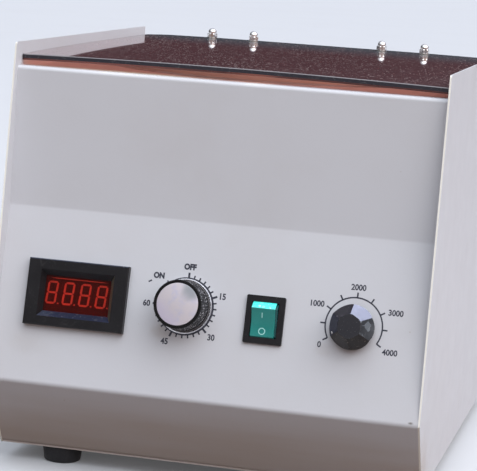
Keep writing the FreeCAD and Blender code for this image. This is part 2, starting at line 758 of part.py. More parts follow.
def along_tube(shape, depth=0.0):
    """Copy of the shape on the first tube's axis: Z points out of the mouth, depth is below it."""
    radius, height = seat_point(0, depth)
    tilt = math.radians(TUBE_TILT)
    return aimed(shape, Vec(radius, 0, height), Vec(-math.sin(tilt), 0, math.cos(tilt)))


def rotor():
    """Angle rotor: head, tube sleeves and the nut that clamps it to the shaft."""
    edge = SLEEVE_LIP_R + HEAD_EDGE
    skirt_in = SLEEVE_R + HEAD_EDGE
    skirt_out = skirt_in + SKIRT_T
    lower = SLEEVE_LIP_T + HEAD_T
    bore = SHAFT_R + RUN_GAP
    thread = THREAD_R + RUN_GAP
    outline = [(bore, HUB_Z), (HUB_R, HUB_Z), (HUB_R, HUB_Z + HUB_STRAIGHT), seat_point(-edge, lower),
               seat_point(skirt_in, lower), seat_point(skirt_in, SKIRT_L), seat_point(skirt_out, SKIRT_L),
               seat_point(skirt_out, -SKIRT_RISE), seat_point(skirt_in, -SKIRT_RISE),
               seat_point(skirt_in, SLEEVE_LIP_T), seat_point(-edge, SLEEVE_LIP_T),
               (HUB_TOP_R, HUB_TOP), (thread, HUB_TOP), (thread, SEAT_Z), (bore, SEAT_Z)]
    head = spun(outline)
    spot = along_tube(disc(SLEEVE_LIP_R + SLEEVE_GAP, 0, SLEEVE_L), SLEEVE_LIP_T)
    well = along_tube(disc(SLEEVE_R + SLEEVE_GAP, -SLEEVE_L, 0))
    for cutter in around(spot, TUBES) + around(well, TUBES):
        head = head.cut(cutter)
    pieces["rotor_head"] = at_rotor(head)
    round_depth = SLEEVE_L - SLEEVE_R
    sleeve = fused([disc(SLEEVE_LIP_R, -SLEEVE_LIP_T, 0), disc(SLEEVE_R, -round_depth, 0),
                    moved(Part.makeSphere(SLEEVE_R), 0, 0, -round_depth)])
    hollow = fused([disc(TUBE_BORE_R, -round_depth, 1),
                    moved(Part.makeSphere(TUBE_BORE_R), 0, 0, -round_depth)])
    sleeve = along_tube(sleeve.cut(hollow))
    pieces["tube_sleeves"] = at_rotor(Part.makeCompound(around(sleeve, TUBES)))
    nut = disc(ROTOR_NUT_R, HUB_TOP, HUB_TOP + ROTOR_NUT_H)
    nut = nut.makeFillet(2.5, [nut.Edges[0]])
    pieces["rotor_nut"] = at_rotor(nut.cut(disc(thread, HUB_TOP - 1, HUB_TOP + THREAD_L + 1)))


def damper_places():
    """Centres of the four motor dampers."""
    return [(sx * DAMPER_X, ROTOR_Y + sy * DAMPER_X) for sx in (-1, 1) for sy in (-1, 1)]


def motor_mount():
    """Mount plate on four rubber dampers, each with a bolt and nut."""
    plate = rounded(block(MOUNT_W, MOUNT_W, MOUNT_Z, MOTOR_Z), DAMPER_R)
    plate = at_rotor(plate.cut(disc(MOUNT_HOLE_R, 0, MOTOR_Z + 1)))
    bolt_hole = disc(DAMPER_BOLT_R + SCREW_GAP, 0, MOTOR_Z + 1)
    waist = BASE_TOP + DAMPER_H / 2
    outline = [(DAMPER_BOLT_R + SCREW_GAP, BASE_TOP), (DAMPER_R, BASE_TOP), (DAMPER_WAIST_R, waist),
               (DAMPER_R, MOUNT_Z), (DAMPER_BOLT_R + SCREW_GAP, MOUNT_Z)]
    damper = spun(outline)
    nut_top = MOTOR_Z + DAMPER_NUT_H
    bolt = fused([prism(6, DAMPER_NUT_AF, FOOT_H - M4_HEAD_H - 1.8, FOOT_H),
                  disc(DAMPER_BOLT_R, FOOT_H - 1, nut_top + 2), prism(6, DAMPER_NUT_AF, MOTOR_Z, nut_top)])
    for x, y in damper_places():
        plate = plate.cut(moved(bolt_hole, x, y))
    for bolt_x, bolt_y in motor_bolt_places():
        plate = plate.cut(moved(disc(M4_R + SCREW_GAP, 0, MOTOR_Z + 1), bolt_x, ROTOR_Y + bolt_y))
    pieces["motor_mount_plate"] = plate
    pieces["motor_dampers"] = Part.makeCompound([moved(damper, x, y) for x, y in damper_places()])
    pieces["damper_bolts"] = Part.makeCompound([moved(bolt, x, y) for x, y in damper_places()])


def motor_bolt_places():
    """Centres of the long motor bolts, from the motor's axis."""
    turns = [math.radians(45 + 90 * k) for k in range(4)]
    return [(MOTOR_BOLT_PCR * math.cos(t), MOTOR_BOLT_PCR * math.sin(t)) for t in turns]


def drilled(shape, radius):
    """The shape, on the motor's axis, with holes for the long motor bolts."""
    for x, y in motor_bolt_places():
        shape = shape.cut(moved(disc(radius, 0, PANEL_TOP), x, y))
    return shape


def motor_shell():
    """Motor can, end bells, bearings, stator, brushes and the long bolts."""
    can = ring(MOTOR_R, MOTOR_BORE, CAN_Z, TOP_BELL_Z)
    pieces["motor_can"] = at_rotor(can)
    pocket = BEARING_R + RUN_GAP / 2
    shaft_hole = SHAFT_R + 2 * SHEET
    boss_low = MOTOR_Z - BOSS_H
    bell_bore = MOTOR_BORE - 1
    bottom = spun([(shaft_hole, boss_low), (BOSS_R, boss_low), (BOSS_R, MOTOR_Z), (MOTOR_R, MOTOR_Z),
                   (MOTOR_R, CAN_Z), (bell_bore, CAN_Z), (bell_bore, MOTOR_Z + BELL_FLOOR),
                   (pocket, MOTOR_Z + BELL_FLOOR), (pocket, MOTOR_Z + BELL_FLOOR - BEARING_H),
                   (shaft_hole, MOTOR_Z + BELL_FLOOR - BEARING_H)])
    brush_z = MOTOR_Z + BELL_FLOOR + COMMUTATOR_H / 2 + 3
    holder_hole = aimed(disc(BRUSH_HOLDER_R + RUN_GAP, -MOTOR_R * 2, MOTOR_R * 2), Vec(0, 0, brush_z), AXIS_X)
    bottom = drilled(bottom, M4_R + SCREW_GAP).cut(holder_hole)
    pieces["motor_bottom_bell"] = at_rotor(bottom)
    boss_top = BOSS_Z + BOSS_H
    under = BOSS_Z - BELL_FLOOR
    top = spun([(shaft_hole, boss_top), (BOSS_R, boss_top), (BOSS_R, BOSS_Z), (MOTOR_R, BOSS_Z),
                (MOTOR_R, TOP_BELL_Z), (bell_bore, TOP_BELL_Z), (bell_bore, under), (pocket, under),
                (pocket, under + BEARING_H), (shaft_hole, under + BEARING_H)])
    pieces["motor_top_bell"] = at_rotor(drilled(top, M4_R + SCREW_GAP))
    lower_z = MOTOR_Z + BELL_FLOOR - BEARING_H
    lower = ring(BEARING_R, SHAFT_R + RUN_GAP, lower_z, lower_z + BEARING_H)
    upper = ring(BEARING_R, SHAFT_R + RUN_GAP, under, under + BEARING_H)
    pieces["motor_bearings"] = at_rotor(Part.makeCompound([lower, upper]))
    stator_in = STACK_R + AIR_GAP
    stator_out = MOTOR_BORE - RUN_GAP
    coil_out = MOTOR_BOLT_PCR - M4_R - 1
    plates = drilled(ring(stator_out, stator_in, STACK_Z, STACK_Z + STACK_H), M4_R + SCREW_GAP)
    coils = [ring(coil_out, stator_in + 1, STACK_Z - COIL_H, STACK_Z),
             ring(coil_out, stator_in + 1, STACK_Z + STACK_H, STACK_Z + STACK_H + COIL_H)]
    pieces["motor_stator"] = at_rotor(Part.makeCompound([plates] + coils))
    brush_in = COMMUTATOR_R + SOFT_GAP
    holder_in = brush_in + 4
    holder = fused([ring(BRUSH_HOLDER_R, BRUSH_R + RUN_GAP, holder_in, MOTOR_R + 1),
                    disc(BRUSH_CAP_R, MOTOR_R + 0.4, MOTOR_R + 3.4)])
    brush = disc(BRUSH_R, brush_in, brush_in + BRUSH_L)
    holders = [aimed(holder, Vec(0, ROTOR_Y, brush_z), AXIS_X * side) for side in (-1, 1)]
    brushes = [aimed(brush, Vec(0, ROTOR_Y, brush_z), AXIS_X * side) for side in (-1, 1)]
    pieces["brush_holders"] = Part.makeCompound(holders)
    pieces["carbon_brushes"] = Part.makeCompound(brushes)
    bolt = fused([disc(M4_HEAD_R, BOSS_Z, BOSS_Z + M4_HEAD_H), disc(M4_R, MOUNT_Z - 4, BOSS_Z + 1),
                  prism(6, ACORN_AF, MOUNT_Z - ACORN_HEX_H, MOUNT_Z)])
    bolts = [moved(bolt, x, ROTOR_Y + y) for x, y in motor_bolt_places()]
    pieces["motor_bolts"] = Part.makeCompound(bolts)


def motor_core():
    """Everything in the motor that turns: shaft, armature, commutator, fan and magnet."""
    low = MOTOR_Z - SHAFT_TAIL
    shaft = fused([disc(SHAFT_R, low, SEAT_Z), disc(THREAD_R, SEAT_Z, HUB_TOP + THREAD_L)])
    pieces["motor_shaft"] = at_rotor(shaft)
    bore = SHAFT_R + RUN_GAP
    winding = STACK_R - 5
    stack_top = STACK_Z + STACK_H
    armature = spun([(bore, STACK_Z - COIL_H), (winding - 4, STACK_Z - COIL_H), (winding, STACK_Z),
                     (STACK_R, STACK_Z), (STACK_R, stack_top), (winding, stack_top),
                     (winding - 4, stack_top + COIL_H), (bore, stack_top + COIL_H)])
    slot = box(STACK_R - 4, STACK_R + 1, -1, 1, STACK_Z - 1, stack_top + 1)
    for cutter in around(slot, 12):
        armature = armature.cut(cutter)
    pieces["motor_armature"] = at_rotor(armature)
    comm_z = MOTOR_Z + BELL_FLOOR + 3
    commutator = ring(COMMUTATOR_R, bore, comm_z, comm_z + COMMUTATOR_H)
    bar_gap = box(COMMUTATOR_R - 1.5, COMMUTATOR_R + 1, -0.25, 0.25, comm_z - 1, comm_z + COMMUTATOR_H + 1)
    for cutter in around(bar_gap, 24):
        commutator = commutator.cut(cutter)
    pieces["motor_commutator"] = at_rotor(commutator)
    fan_z = stack_top + COIL_H + 2
    blade = box(bore + 3, FAN_R, -0.8, 0.8, fan_z, fan_z + FAN_H)
    fan = fused([disc(bore + 4, fan_z, fan_z + FAN_H), disc(FAN_R - 6, fan_z, fan_z + 1.5)] + around(blade, FAN_BLADES))
    pieces["motor_fan"] = at_rotor(fan.cut(disc(bore, fan_z - 1, fan_z + FAN_H + 1)))
    magnet_z = low + 1
    pieces["speed_magnet"] = at_rotor(ring(MAGNET_R, bore, magnet_z, magnet_z + MAGNET_H))


def speed_sensor():
    """Sensor on a small bracket that stands on the base plate beside the magnet."""
    magnet_z = MOTOR_Z - SHAFT_TAIL + 1
    near = MAGNET_R + SENSOR_GAP
    far = near + SENSOR_L
    half = SENSOR_W / 3
    head = box(near, far, -half, half, magnet_z - 1, magnet_z + MAGNET_H)
    post = box(far - 2, far + 2, -half, half, BASE_TOP, magnet_z + MAGNET_H)
    foot = box(far - 2, far - 2 + SENSOR_FOOT_L, -SENSOR_W / 2, SENSOR_W / 2, BASE_TOP, BASE_TOP + SHEET)
    pieces["speed_sensor"] = at_rotor(fused([head, post, foot]))


def seven_segments():
    """One figure of the display, with all its seven bars and its point."""
    half_w = DIGIT_W / 2 - SEGMENT_W / 2
    half_h = DIGIT_H / 2 - SEGMENT_W / 2
    lean = math.tan(math.radians(DIGIT_SLANT))
    bars = []
    for y in (-half_h, 0, half_h):
        bars.append(moved(block(2 * half_w - SEGMENT_W * 1.6, SEGMENT_W, 0, 1), y * lean, y))
    for x in (-half_w, half_w):
        for y in (-half_h / 2, half_h / 2):
            bar = block(SEGMENT_W, half_h - SEGMENT_W * 1.2, 0, 1)
            bar.rotate(Vec(0, 0, 0), AXIS_Z, -DIGIT_SLANT)
            bars.append(moved(bar, x + y * lean, y))
    point = moved(disc(SEGMENT_W * 0.6, 0, 1), DIGIT_W / 2 + SEGMENT_W - half_h * lean, -half_h)
    return bars + [point]


def meter():
    """Speed meter: bezel with a sloping recess, window, display and case."""
    bezel = block(METER_W, METER_H, 0, METER_T)
    edges = [edge for edge in bezel.Edges if edge.CenterOfMass.z > METER_T - 1e-6]
    bezel = bezel.makeFillet(0.8, edges)
    pane_seat = METER_T / 5
    mouth = Part.makePolygon([Vec(x, y, METER_T + 0.01) for x, y in corners(WINDOW_W, WINDOW_H)])
    throat = Part.makePolygon([Vec(x, y, pane_seat) for x, y in corners(PANE_W, PANE_H)])
    recess = moved(Part.makeLoft([throat, mouth], True, True), 0, -WINDOW_DOWN)
    bezel = bezel.cut(recess)
    pocket = block(PANE_W + 4 + 2 * JOIN_GAP, PANE_H + 4 + 2 * JOIN_GAP, -1, pane_seat + 0.01)
    bezel = bezel.cut(moved(pocket, 0, -WINDOW_DOWN))
    pieces["meter_bezel"] = on_face(bezel, METER_X, METER_DROP)
    pane = block(PANE_W + 4, PANE_H + 4, pane_seat - PANE_T, pane_seat)
    pieces["meter_window"] = on_face(pane, METER_X, METER_DROP + WINDOW_DOWN)
    front = pane_seat - PANE_T
    board = block(PANE_W + 4, PANE_H + 4, front - 4, front - 1)
    figures = []
    for k in range(DIGITS):
        x = DIGIT_PITCH * (k - (DIGITS - 1) / 2)
        figures += [moved(bar, x, DIGITS_UP, front - 1.1) for bar in seven_segments()]
    pieces["meter_digits"] = on_face(fused([board] + figures), METER_X, METER_DROP + WINDOW_DOWN)
    case = block(METER_CASE_W, METER_CASE_H, -METER_CASE_D, 0)
    hollow = block(METER_CASE_W - 2 * METER_WALL, METER_CASE_H - 2 * METER_WALL, METER_WALL - METER_CASE_D, 1)
    ledge = block(METER_CASE_W - METER_WALL, METER_CASE_H - METER_WALL, front - 6, front - 4)
    pieces["meter_case"] = on_face(fused([case.cut(hollow), ledge]), METER_X, METER_DROP)


def corners(width, height):
    """Corners of a rectangle around the origin, closed."""
    half_w = width / 2
    half_h = height / 2
    return [(-half_w, -half_h), (half_w, -half_h), (half_w, half_h), (-half_w, half_h), (-half_w, -half_h)]


def timer():
    """Timer: movement with its bushing, spindle, knob and metal cap."""
    body = rounded(block(TIMER_BODY, TIMER_BODY, -SHEET - TIMER_BODY_D, -SHEET), CORNER_R)
    body = fused([body, disc(BUSHING_R, -SHEET - 1, BUSHING_H)])
    spindle_low = -SHEET - TIMER_BODY_D / 2
    body = body.cut(disc(SPINDLE_R + RUN_GAP, spindle_low - 1, BUSHING_H + 1))
    pieces["timer_body"] = on_face(body, TIMER_X, TIMER_DROP)
    spindle_top = TIMER_KNOB_H - TIMER_CAP_T - KNOB_TOP_T
    pieces["timer_spindle"] = on_face(disc(SPINDLE_R, spindle_low, spindle_top), TIMER_X, TIMER_DROP)
    flange_top = KNOB_LIFT + TIMER_FLANGE_T
    well_top = BUSHING_H + 1
    outline = [(KNOB_WELL_R, KNOB_LIFT), (TIMER_KNOB_R, KNOB_LIFT), (TIMER_KNOB_R, flange_top),
               (TIMER_GRIP_R, flange_top + 0.4), (TIMER_TOP_R, TIMER_KNOB_H), (TIMER_CAP_R + 0.1, TIMER_KNOB_H),
               (TIMER_CAP_R + 0.1, TIMER_KNOB_H - TIMER_CAP_T), (0, TIMER_KNOB_H - TIMER_CAP_T),
               (0, spindle_top + 0.1), (SPINDLE_R + RUN_GAP, spindle_top + 0.1),
               (SPINDLE_R + RUN_GAP, well_top), (KNOB_WELL_R, well_top)]
    pieces["timer_knob"] = on_face(spun(outline), TIMER_X, TIMER_DROP)
    cap = disc(TIMER_CAP_R, TIMER_KNOB_H - TIMER_CAP_T, TIMER_KNOB_H)
    cap = cap.makeFillet(0.3, [cap.Edges[0]])
    pieces["timer_knob_cap"] = on_face(cap, TIMER_X, TIMER_DROP)


def speed_control():
    """Speed control: body with its bushing, spindle and faceted knob."""
    low = -SHEET - SPEED_BODY_D
    body = fused([disc(SPEED_BODY_R, low, -SHEET), disc(BUSHING_R, -SHEET - 1, BUSHING_H)])
    body = body.cut(disc(SPINDLE_R + RUN_GAP, low + 3, BUSHING_H + 1))
    pieces["speed_control_body"] = on_face(body, SPEED_X, SPEED_DROP)
    spindle_top = SPEED_KNOB_H - KNOB_TOP_T
    pieces["speed_spindle"] = on_face(disc(SPINDLE_R, low + 4, spindle_top), SPEED_X, SPEED_DROP)
    height = SPEED_KNOB_H - KNOB_LIFT
    spread = height * math.tan(math.radians(90 - SPEED_SLOPE))
    turns = [math.radians(SPEED_TURN + 360.0 * (k + 0.5) / SPEED_FACETS) for k in range(SPEED_FACETS + 1)]
    wires = []
    for flat, z in ((SPEED_TOP_R + spread, KNOB_LIFT), (SPEED_TOP_R, SPEED_KNOB_H)):
        corner = flat / math.cos(math.pi / SPEED_FACETS)
        wires.append(Part.makePolygon([Vec(corner * math.cos(t), corner * math.sin(t), z) for t in turns]))
    crown = Part.makeLoft(wires, True, True)
    knob = crown.common(Part.makeCone(SPEED_KNOB_R, SPEED_NECK_R, height, Vec(0, 0, KNOB_LIFT), AXIS_Z))
    knob = knob.cut(disc(KNOB_WELL_R, 0, BUSHING_H + 1))
    knob = knob.cut(disc(SPINDLE_R + RUN_GAP, 0, spindle_top + 0.1))
    pieces["speed_knob"] = on_face(knob, SPEED_X, SPEED_DROP)
    nut = prism(6, BUSHING_NUT_AF, 0, BUSHING_NUT_H).cut(disc(BUSHING_R + THREAD_GAP, -1, BUSHING_NUT_H + 1))
    nuts = [on_face(nut, TIMER_X, TIMER_DROP), on_face(nut, SPEED_X, SPEED_DROP)]
    pieces["bushing_nuts"] = Part.makeCompound(nuts)


def rocker_pivot():
    """Height of the rocker's pivot above the control face."""
    return SWITCH_T + ROCKER_PROUD - ROCKER_VERTEX


def rocker_switch():
    """Rocker switch: body with its frame, and the rocker at its off position."""
    pivot = rocker_pivot()
    half = math.radians(ROCKER_TILT / 2)
    reach = ROCKER_R + ROCKER_GAP
    swing_drop = ROCKER_R * math.sin(2 * half) + ROCKER_GAP
    frame = rounded(block(SWITCH_W, SWITCH_H, 0, SWITCH_T), 1.0)
    body = fused([frame, block(SWITCH_BODY_W, SWITCH_BODY_H, -SWITCH_BODY_D, 1)])
    swing = aimed(disc(reach, -ROCKER_W / 2 - ROCKER_GAP, ROCKER_W / 2 + ROCKER_GAP), Vec(0, 0, pivot), AXIS_X)
    below = block(SWITCH_W, 4 * ROCKER_R, pivot - 4 * ROCKER_R, pivot - swing_drop)
    body = body.cut(swing.cut(below))
    pin_span = SWITCH_BODY_W / 2 - 1
    pin = aimed(disc(ROCKER_PIN_R, -pin_span, pin_span), Vec(0, 0, pivot), AXIS_X)
    pin_hole = aimed(disc(ROCKER_PIN_R + RUN_GAP, -pin_span - 0.2, pin_span + 0.2), Vec(0, 0, pivot), AXIS_X)
    pieces["switch_body"] = on_face(body.cut(pin_hole), SWITCH_X, SWITCH_DROP)
    vertex_y = -ROCKER_VERTEX * math.tan(half)
    far = 2 * ROCKER_R
    rise = far * math.tan(2 * half)
    wedge = [Vec(-ROCKER_W / 2, -far, pivot), Vec(-ROCKER_W / 2, far, pivot),
             Vec(-ROCKER_W / 2, vertex_y + far, pivot + ROCKER_VERTEX + rise),
             Vec(-ROCKER_W / 2, vertex_y, pivot + ROCKER_VERTEX),
             Vec(-ROCKER_W / 2, -far, pivot + ROCKER_VERTEX)]
    top = Part.Face(Part.makePolygon(wedge + wedge[:1])).extrude(Vec(ROCKER_W, 0, 0))
    round_bar = aimed(disc(ROCKER_R, -ROCKER_W / 2, ROCKER_W / 2), Vec(0, 0, pivot), AXIS_X)
    rocker = fused([top.common(round_bar), pin])
    pieces["switch_rocker"] = on_face(rocker, SWITCH_X, SWITCH_DROP)


def inlet_and_fuse():
    """Mains inlet with its three pins, and the fuse holder with its cap, on the rear panel."""
    flange = rounded(block(INLET_FLANGE_W, INLET_FLANGE_H, 0, INLET_FLANGE_T), CORNER_R)
    body = block(INLET_BODY_W, INLET_BODY_H, -INLET_BODY_D, 1)
    socket = fused([flange, body])
    well_low = INLET_FLANGE_T - INLET_WELL_D
    well = rounded(block(INLET_WELL_W, INLET_WELL_H, well_low, INLET_FLANGE_T + 1), 2.0)
    socket = socket.cut(well)
    for side in (-1, 1):
        hole = disc(M3_R + SCREW_GAP, -1, INLET_FLANGE_T + 1)
        socket = socket.cut(moved(hole, side * INLET_SCREW_X))
    pins = []
    for x, y in ((-PIN_X, PIN_UP / 2), (PIN_X, PIN_UP / 2), (0, -PIN_UP)):
        pins.append(moved(block(PIN_W, PIN_H, -INLET_BODY_D - PIN_TAIL, well_low + PIN_L), x, y))
    pins = Part.makeCompound(pins)
    pieces["inlet_socket"] = aimed_back(socket.cut(pins), INLET_X, INLET_H)
    pieces["inlet_pins"] = aimed_back(pins, INLET_X, INLET_H)
    holder = fused([disc(FUSE_FLANGE_R, 0, FUSE_FLANGE_T), disc(FUSE_R, -FUSE_D, 1)])
    holder = holder.cut(disc(FUSE_BORE_R + RUN_GAP, -FUSE_STEM_L - 1, FUSE_FLANGE_T + 1))
    pieces["fuse_holder"] = aimed_back(holder, FUSE_X, INLET_H)
    cap_low = FUSE_FLANGE_T + SOFT_GAP
    cap = disc(FUSE_CAP_R, cap_low, cap_low + FUSE_CAP_H)
    cap = cap.makeFillet(0.8, [cap.Edges[0]])
    cap = cap.cut(block(2 * FUSE_CAP_R, 1.6, cap_low + FUSE_CAP_H - 1.5, cap_low + FUSE_CAP_H + 1))
    cap = fused([cap, disc(FUSE_BORE_R, -FUSE_STEM_L, cap_low + 1)])
    pieces["fuse_cap"] = aimed_back(cap, FUSE_X, INLET_H)


def electronics():
    """Control board on spacers, with its parts and the heat sink."""
    low = BASE_TOP + SPACER_H
    top = low + BOARD_T
    pieces["control_board"] = moved(block(BOARD_W, BOARD_L, low, top), BOARD_X, BOARD_Y)
    parts = []
    for sx in (-1, 1):
        for sy in (-1, 1):
            spacer = disc(SPACER_R, BASE_TOP, low)
            parts.append(moved(spacer, sx * (BOARD_W / 2 - SPACER_INSET), sy * (BOARD_L / 2 - SPACER_INSET)))
    capacitor = disc(CAPACITOR_R, top, top + CAPACITOR_H)
    small_capacitor = disc(SMALL_CAPACITOR_R, top, top + SMALL_CAPACITOR_H)
    choke = ring(CHOKE_R, CHOKE_BORE_R, top, top + CHOKE_H)
    terminal = block(TERMINAL_W, TERMINAL_L, top, top + TERMINAL_H)
    parts.append(moved(capacitor, -BOARD_W * 0.23, -BOARD_L * 0.31))
    parts.append(moved(small_capacitor, BOARD_W * 0.11, -BOARD_L * 0.34))
    parts.append(moved(choke, -BOARD_W * 0.2))
    parts.append(moved(terminal, 0, BOARD_L * 0.4))
    pieces["board_parts"] = moved(Part.makeCompound(parts), BOARD_X, BOARD_Y)
    sink = block(SINK_W, SINK_L, top, top + SINK_H)
    pitch = SINK_L / SINK_FINS
    for k in range(SINK_FINS - 1):
        y = pitch * (k + 1) - SINK_L / 2
        sink = sink.cut(moved(block(SINK_W, pitch * 0.6, top + 3, top + SINK_H + 1), 4, y))
    pieces["heat_sink"] = moved(sink, BOARD_X + BOARD_W / 2 - SINK_W / 2 - 2, BOARD_Y)


side_panels()
front_panel()
top_deck()
rear_panel()
base_plate()
rubber_feet()
case_screws()
hinges()
lid()
chamber()
rotor()
motor_mount()
motor_shell()
motor_core()
speed_sensor()
meter()
timer()
speed_control()
rocker_switch()
inlet_and_fuse()
electronics()

whole = Part.makeCompound(list(pieces.values())).BoundBox
SHIFT_Y = -(whole.YMin + whole.YMax) / 2
for name, shape in pieces.items():
    moved(shape, 0, SHIFT_Y, 0).exportStep(f"parts/{name}.step")

print("nodes", len(pieces))
print("overall", round(whole.XLength, 2), round(whole.YLength, 2), round(whole.ZLength, 2))
print("low corner", round(whole.XMin, 3), round(whole.YMin + SHIFT_Y, 3), round(whole.ZMin, 3))
print("shift along Y", round(SHIFT_Y, 4))
print("hinge axis", round(HINGE_Y + SHIFT_Y, 4), round(HINGE_Z, 4))
print("rotor axis", round(ROTOR_Y + SHIFT_Y, 4), "bowl floor", round(BOWL_FLOOR_Z, 3), "mouths", round(MOUTH_Z, 3))
print("control face tilt", round(CONTROL_TILT, 5), "bend", round(BEND_Y + SHIFT_Y, 4), round(FOOT_H + BEND_H, 4))
print("rocker pivot", round(rocker_pivot(), 4))
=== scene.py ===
"""Benchtop centrifuge: the dressed model on its CAD frame, with the floor, light and camera."""

import logging
import math
from collections.abc import Callable, Iterable, Sequence
from dataclasses import dataclass
from enum import Enum
from typing import ClassVar

import bmesh
import bpy
from mathutils import Matrix, Vector


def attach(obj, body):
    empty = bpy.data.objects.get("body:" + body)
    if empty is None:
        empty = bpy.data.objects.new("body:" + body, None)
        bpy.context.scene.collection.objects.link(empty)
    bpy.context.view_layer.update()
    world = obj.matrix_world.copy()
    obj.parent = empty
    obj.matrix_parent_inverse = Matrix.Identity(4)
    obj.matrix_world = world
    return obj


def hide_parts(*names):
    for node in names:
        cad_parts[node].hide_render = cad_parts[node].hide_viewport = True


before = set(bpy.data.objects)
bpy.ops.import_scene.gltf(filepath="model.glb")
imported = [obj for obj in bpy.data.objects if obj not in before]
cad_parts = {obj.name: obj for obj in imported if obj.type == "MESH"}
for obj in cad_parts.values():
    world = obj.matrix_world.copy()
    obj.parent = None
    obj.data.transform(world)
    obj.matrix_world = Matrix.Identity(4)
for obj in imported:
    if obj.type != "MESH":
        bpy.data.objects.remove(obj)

log = logging.getLogger("centrifuge")

Color = tuple[float, float, float]
Point2 = tuple[float, float]
Point3 = tuple[float, float, float]
Ring = list[Vector]
Socket = bpy.types.NodeSocket
Outputs = tuple[Socket, ...]
Mesh = bpy.types.Mesh
Face = bpy.types.MeshPolygon
Material = bpy.types.Material
Piece = bpy.types.Object

# Lengths are in millimetres unless a name says otherwise; MM turns them into metres.
MM = 0.001
# From Y counted from the case's front edge to Y in the frame.
SHIFT_Y = -184.9498
# Lean of the control face, and the bend along its top.
FACE_TILT = math.radians(13.16439)
BEND_Y = -158.4498
BEND_Z = 175.8
ROTOR_AXIS: Point3 = (0.0, 5.0502, 0.0)
ORIGIN: Point3 = (0.0, 0.0, 0.0)


def opaque(color: Color) -> tuple[float, float, float, float]:
    """Colour with full alpha."""
    return (*color, 1.0)


class NodeSheet:
    """A node tree with short calls for adding and joining its nodes."""

    def __init__(self, tree: bpy.types.NodeTree) -> None:
        """Start on an empty tree."""
        self.tree = tree
        self.tree.nodes.clear()

    def put(self, socket: Socket, value) -> None:
        """Link an output to a socket, or set the socket's own value."""
        if isinstance(value, Socket):
            self.tree.links.new(value, socket)
        else:
            socket.default_value = opaque(value) if socket.type == "RGBA" else value

    def add(self, kind: str, inputs: dict | None = None, **settings) -> bpy.types.Node:
        """Add a node.

        Args:
            kind: Blender's name of the node type.
            inputs: value or output socket for each input, by name or number.
            settings: attributes of the node.

        Returns:
            The new node.
        """
        node = self.tree.nodes.new(kind)
        node.location = (200 * len(self.tree.nodes), 0)
        for key, value in settings.items():
            setattr(node, key, value)
        for key, value in (inputs or {}).items():
            self.put(node.inputs[key], value)
        return node

    def out(self, kind: str, inputs: dict | None = None, **settings) -> Socket:
        """First output of a new node."""
        return self.add(kind, inputs, **settings).outputs[0]

    def math(self, operation: str, *values) -> Socket:
        """Output of a Math node on up to three values."""
        return self.out("ShaderNodeMath", dict(enumerate(values)), operation=operation)

    def times(self, first, second) -> Socket:
        """Product of two values."""
        return self.math("MULTIPLY", first, second)

    def vector(self, *values) -> Socket:
        """Vector of up to three values."""
        return self.out("ShaderNodeCombineXYZ", dict(enumerate(values)))

    def parts(self, vector: Socket):
        """X, Y and Z of a vector."""
        return self.add("ShaderNodeSeparateXYZ", {0: vector}).outputs

    def length(self, vector: Socket) -> Socket:
        """Length of a vector."""
        node = self.add("ShaderNodeVectorMath", {0: vector}, operation="LENGTH")
        return node.outputs["Value"]

    def noise(self, vector: Socket, scale, **inputs) -> Socket:
        """Value of a noise texture, with its other inputs by name."""
        return self.out("ShaderNodeTexNoise", {"Vector": vector, "Scale": scale, **inputs})

    def ramp(self, value: Socket, low: float, high: float) -> Socket:
        """Value brought from low..high to 0..1, smoothly and clamped."""
        inputs = {"Value": value, "From Min": low, "From Max": high}
        return self.out("ShaderNodeMapRange", inputs, interpolation_type="SMOOTHSTEP")

    def blend(self, factor, first, second, mode: str = "MIX") -> Socket:
        """Colour between first and second."""
        values = {0: factor, 6: first, 7: second}
        return self.add("ShaderNodeMix", values, data_type="RGBA", blend_type=mode).outputs[2]


class Effect(Enum):
    """Shader effects that several finishes share: group name and inputs with their defaults."""

    MOTTLE = ("uneven_tone", {"Color": (0.8, 0.8, 0.8), "Stain": (0.5, 0.4, 0.3), "Scale": 20.0,
                              "Amount": 0.1})
    GRAIN = ("fine_grain", {"Scale": 800.0, "Sharpness": 0.5})
    SPECKS = ("dust_specks", {"Scale": 900.0, "Size": 0.3, "Share": 0.5})
    SCRATCHES = ("hair_scratches", {"Scale": 40.0, "Width": 0.02})
    SMUDGE = ("local_smudge", {"Raggedness": 0.5})
    LAY = ("tool_lay", {"Scale": 300.0})


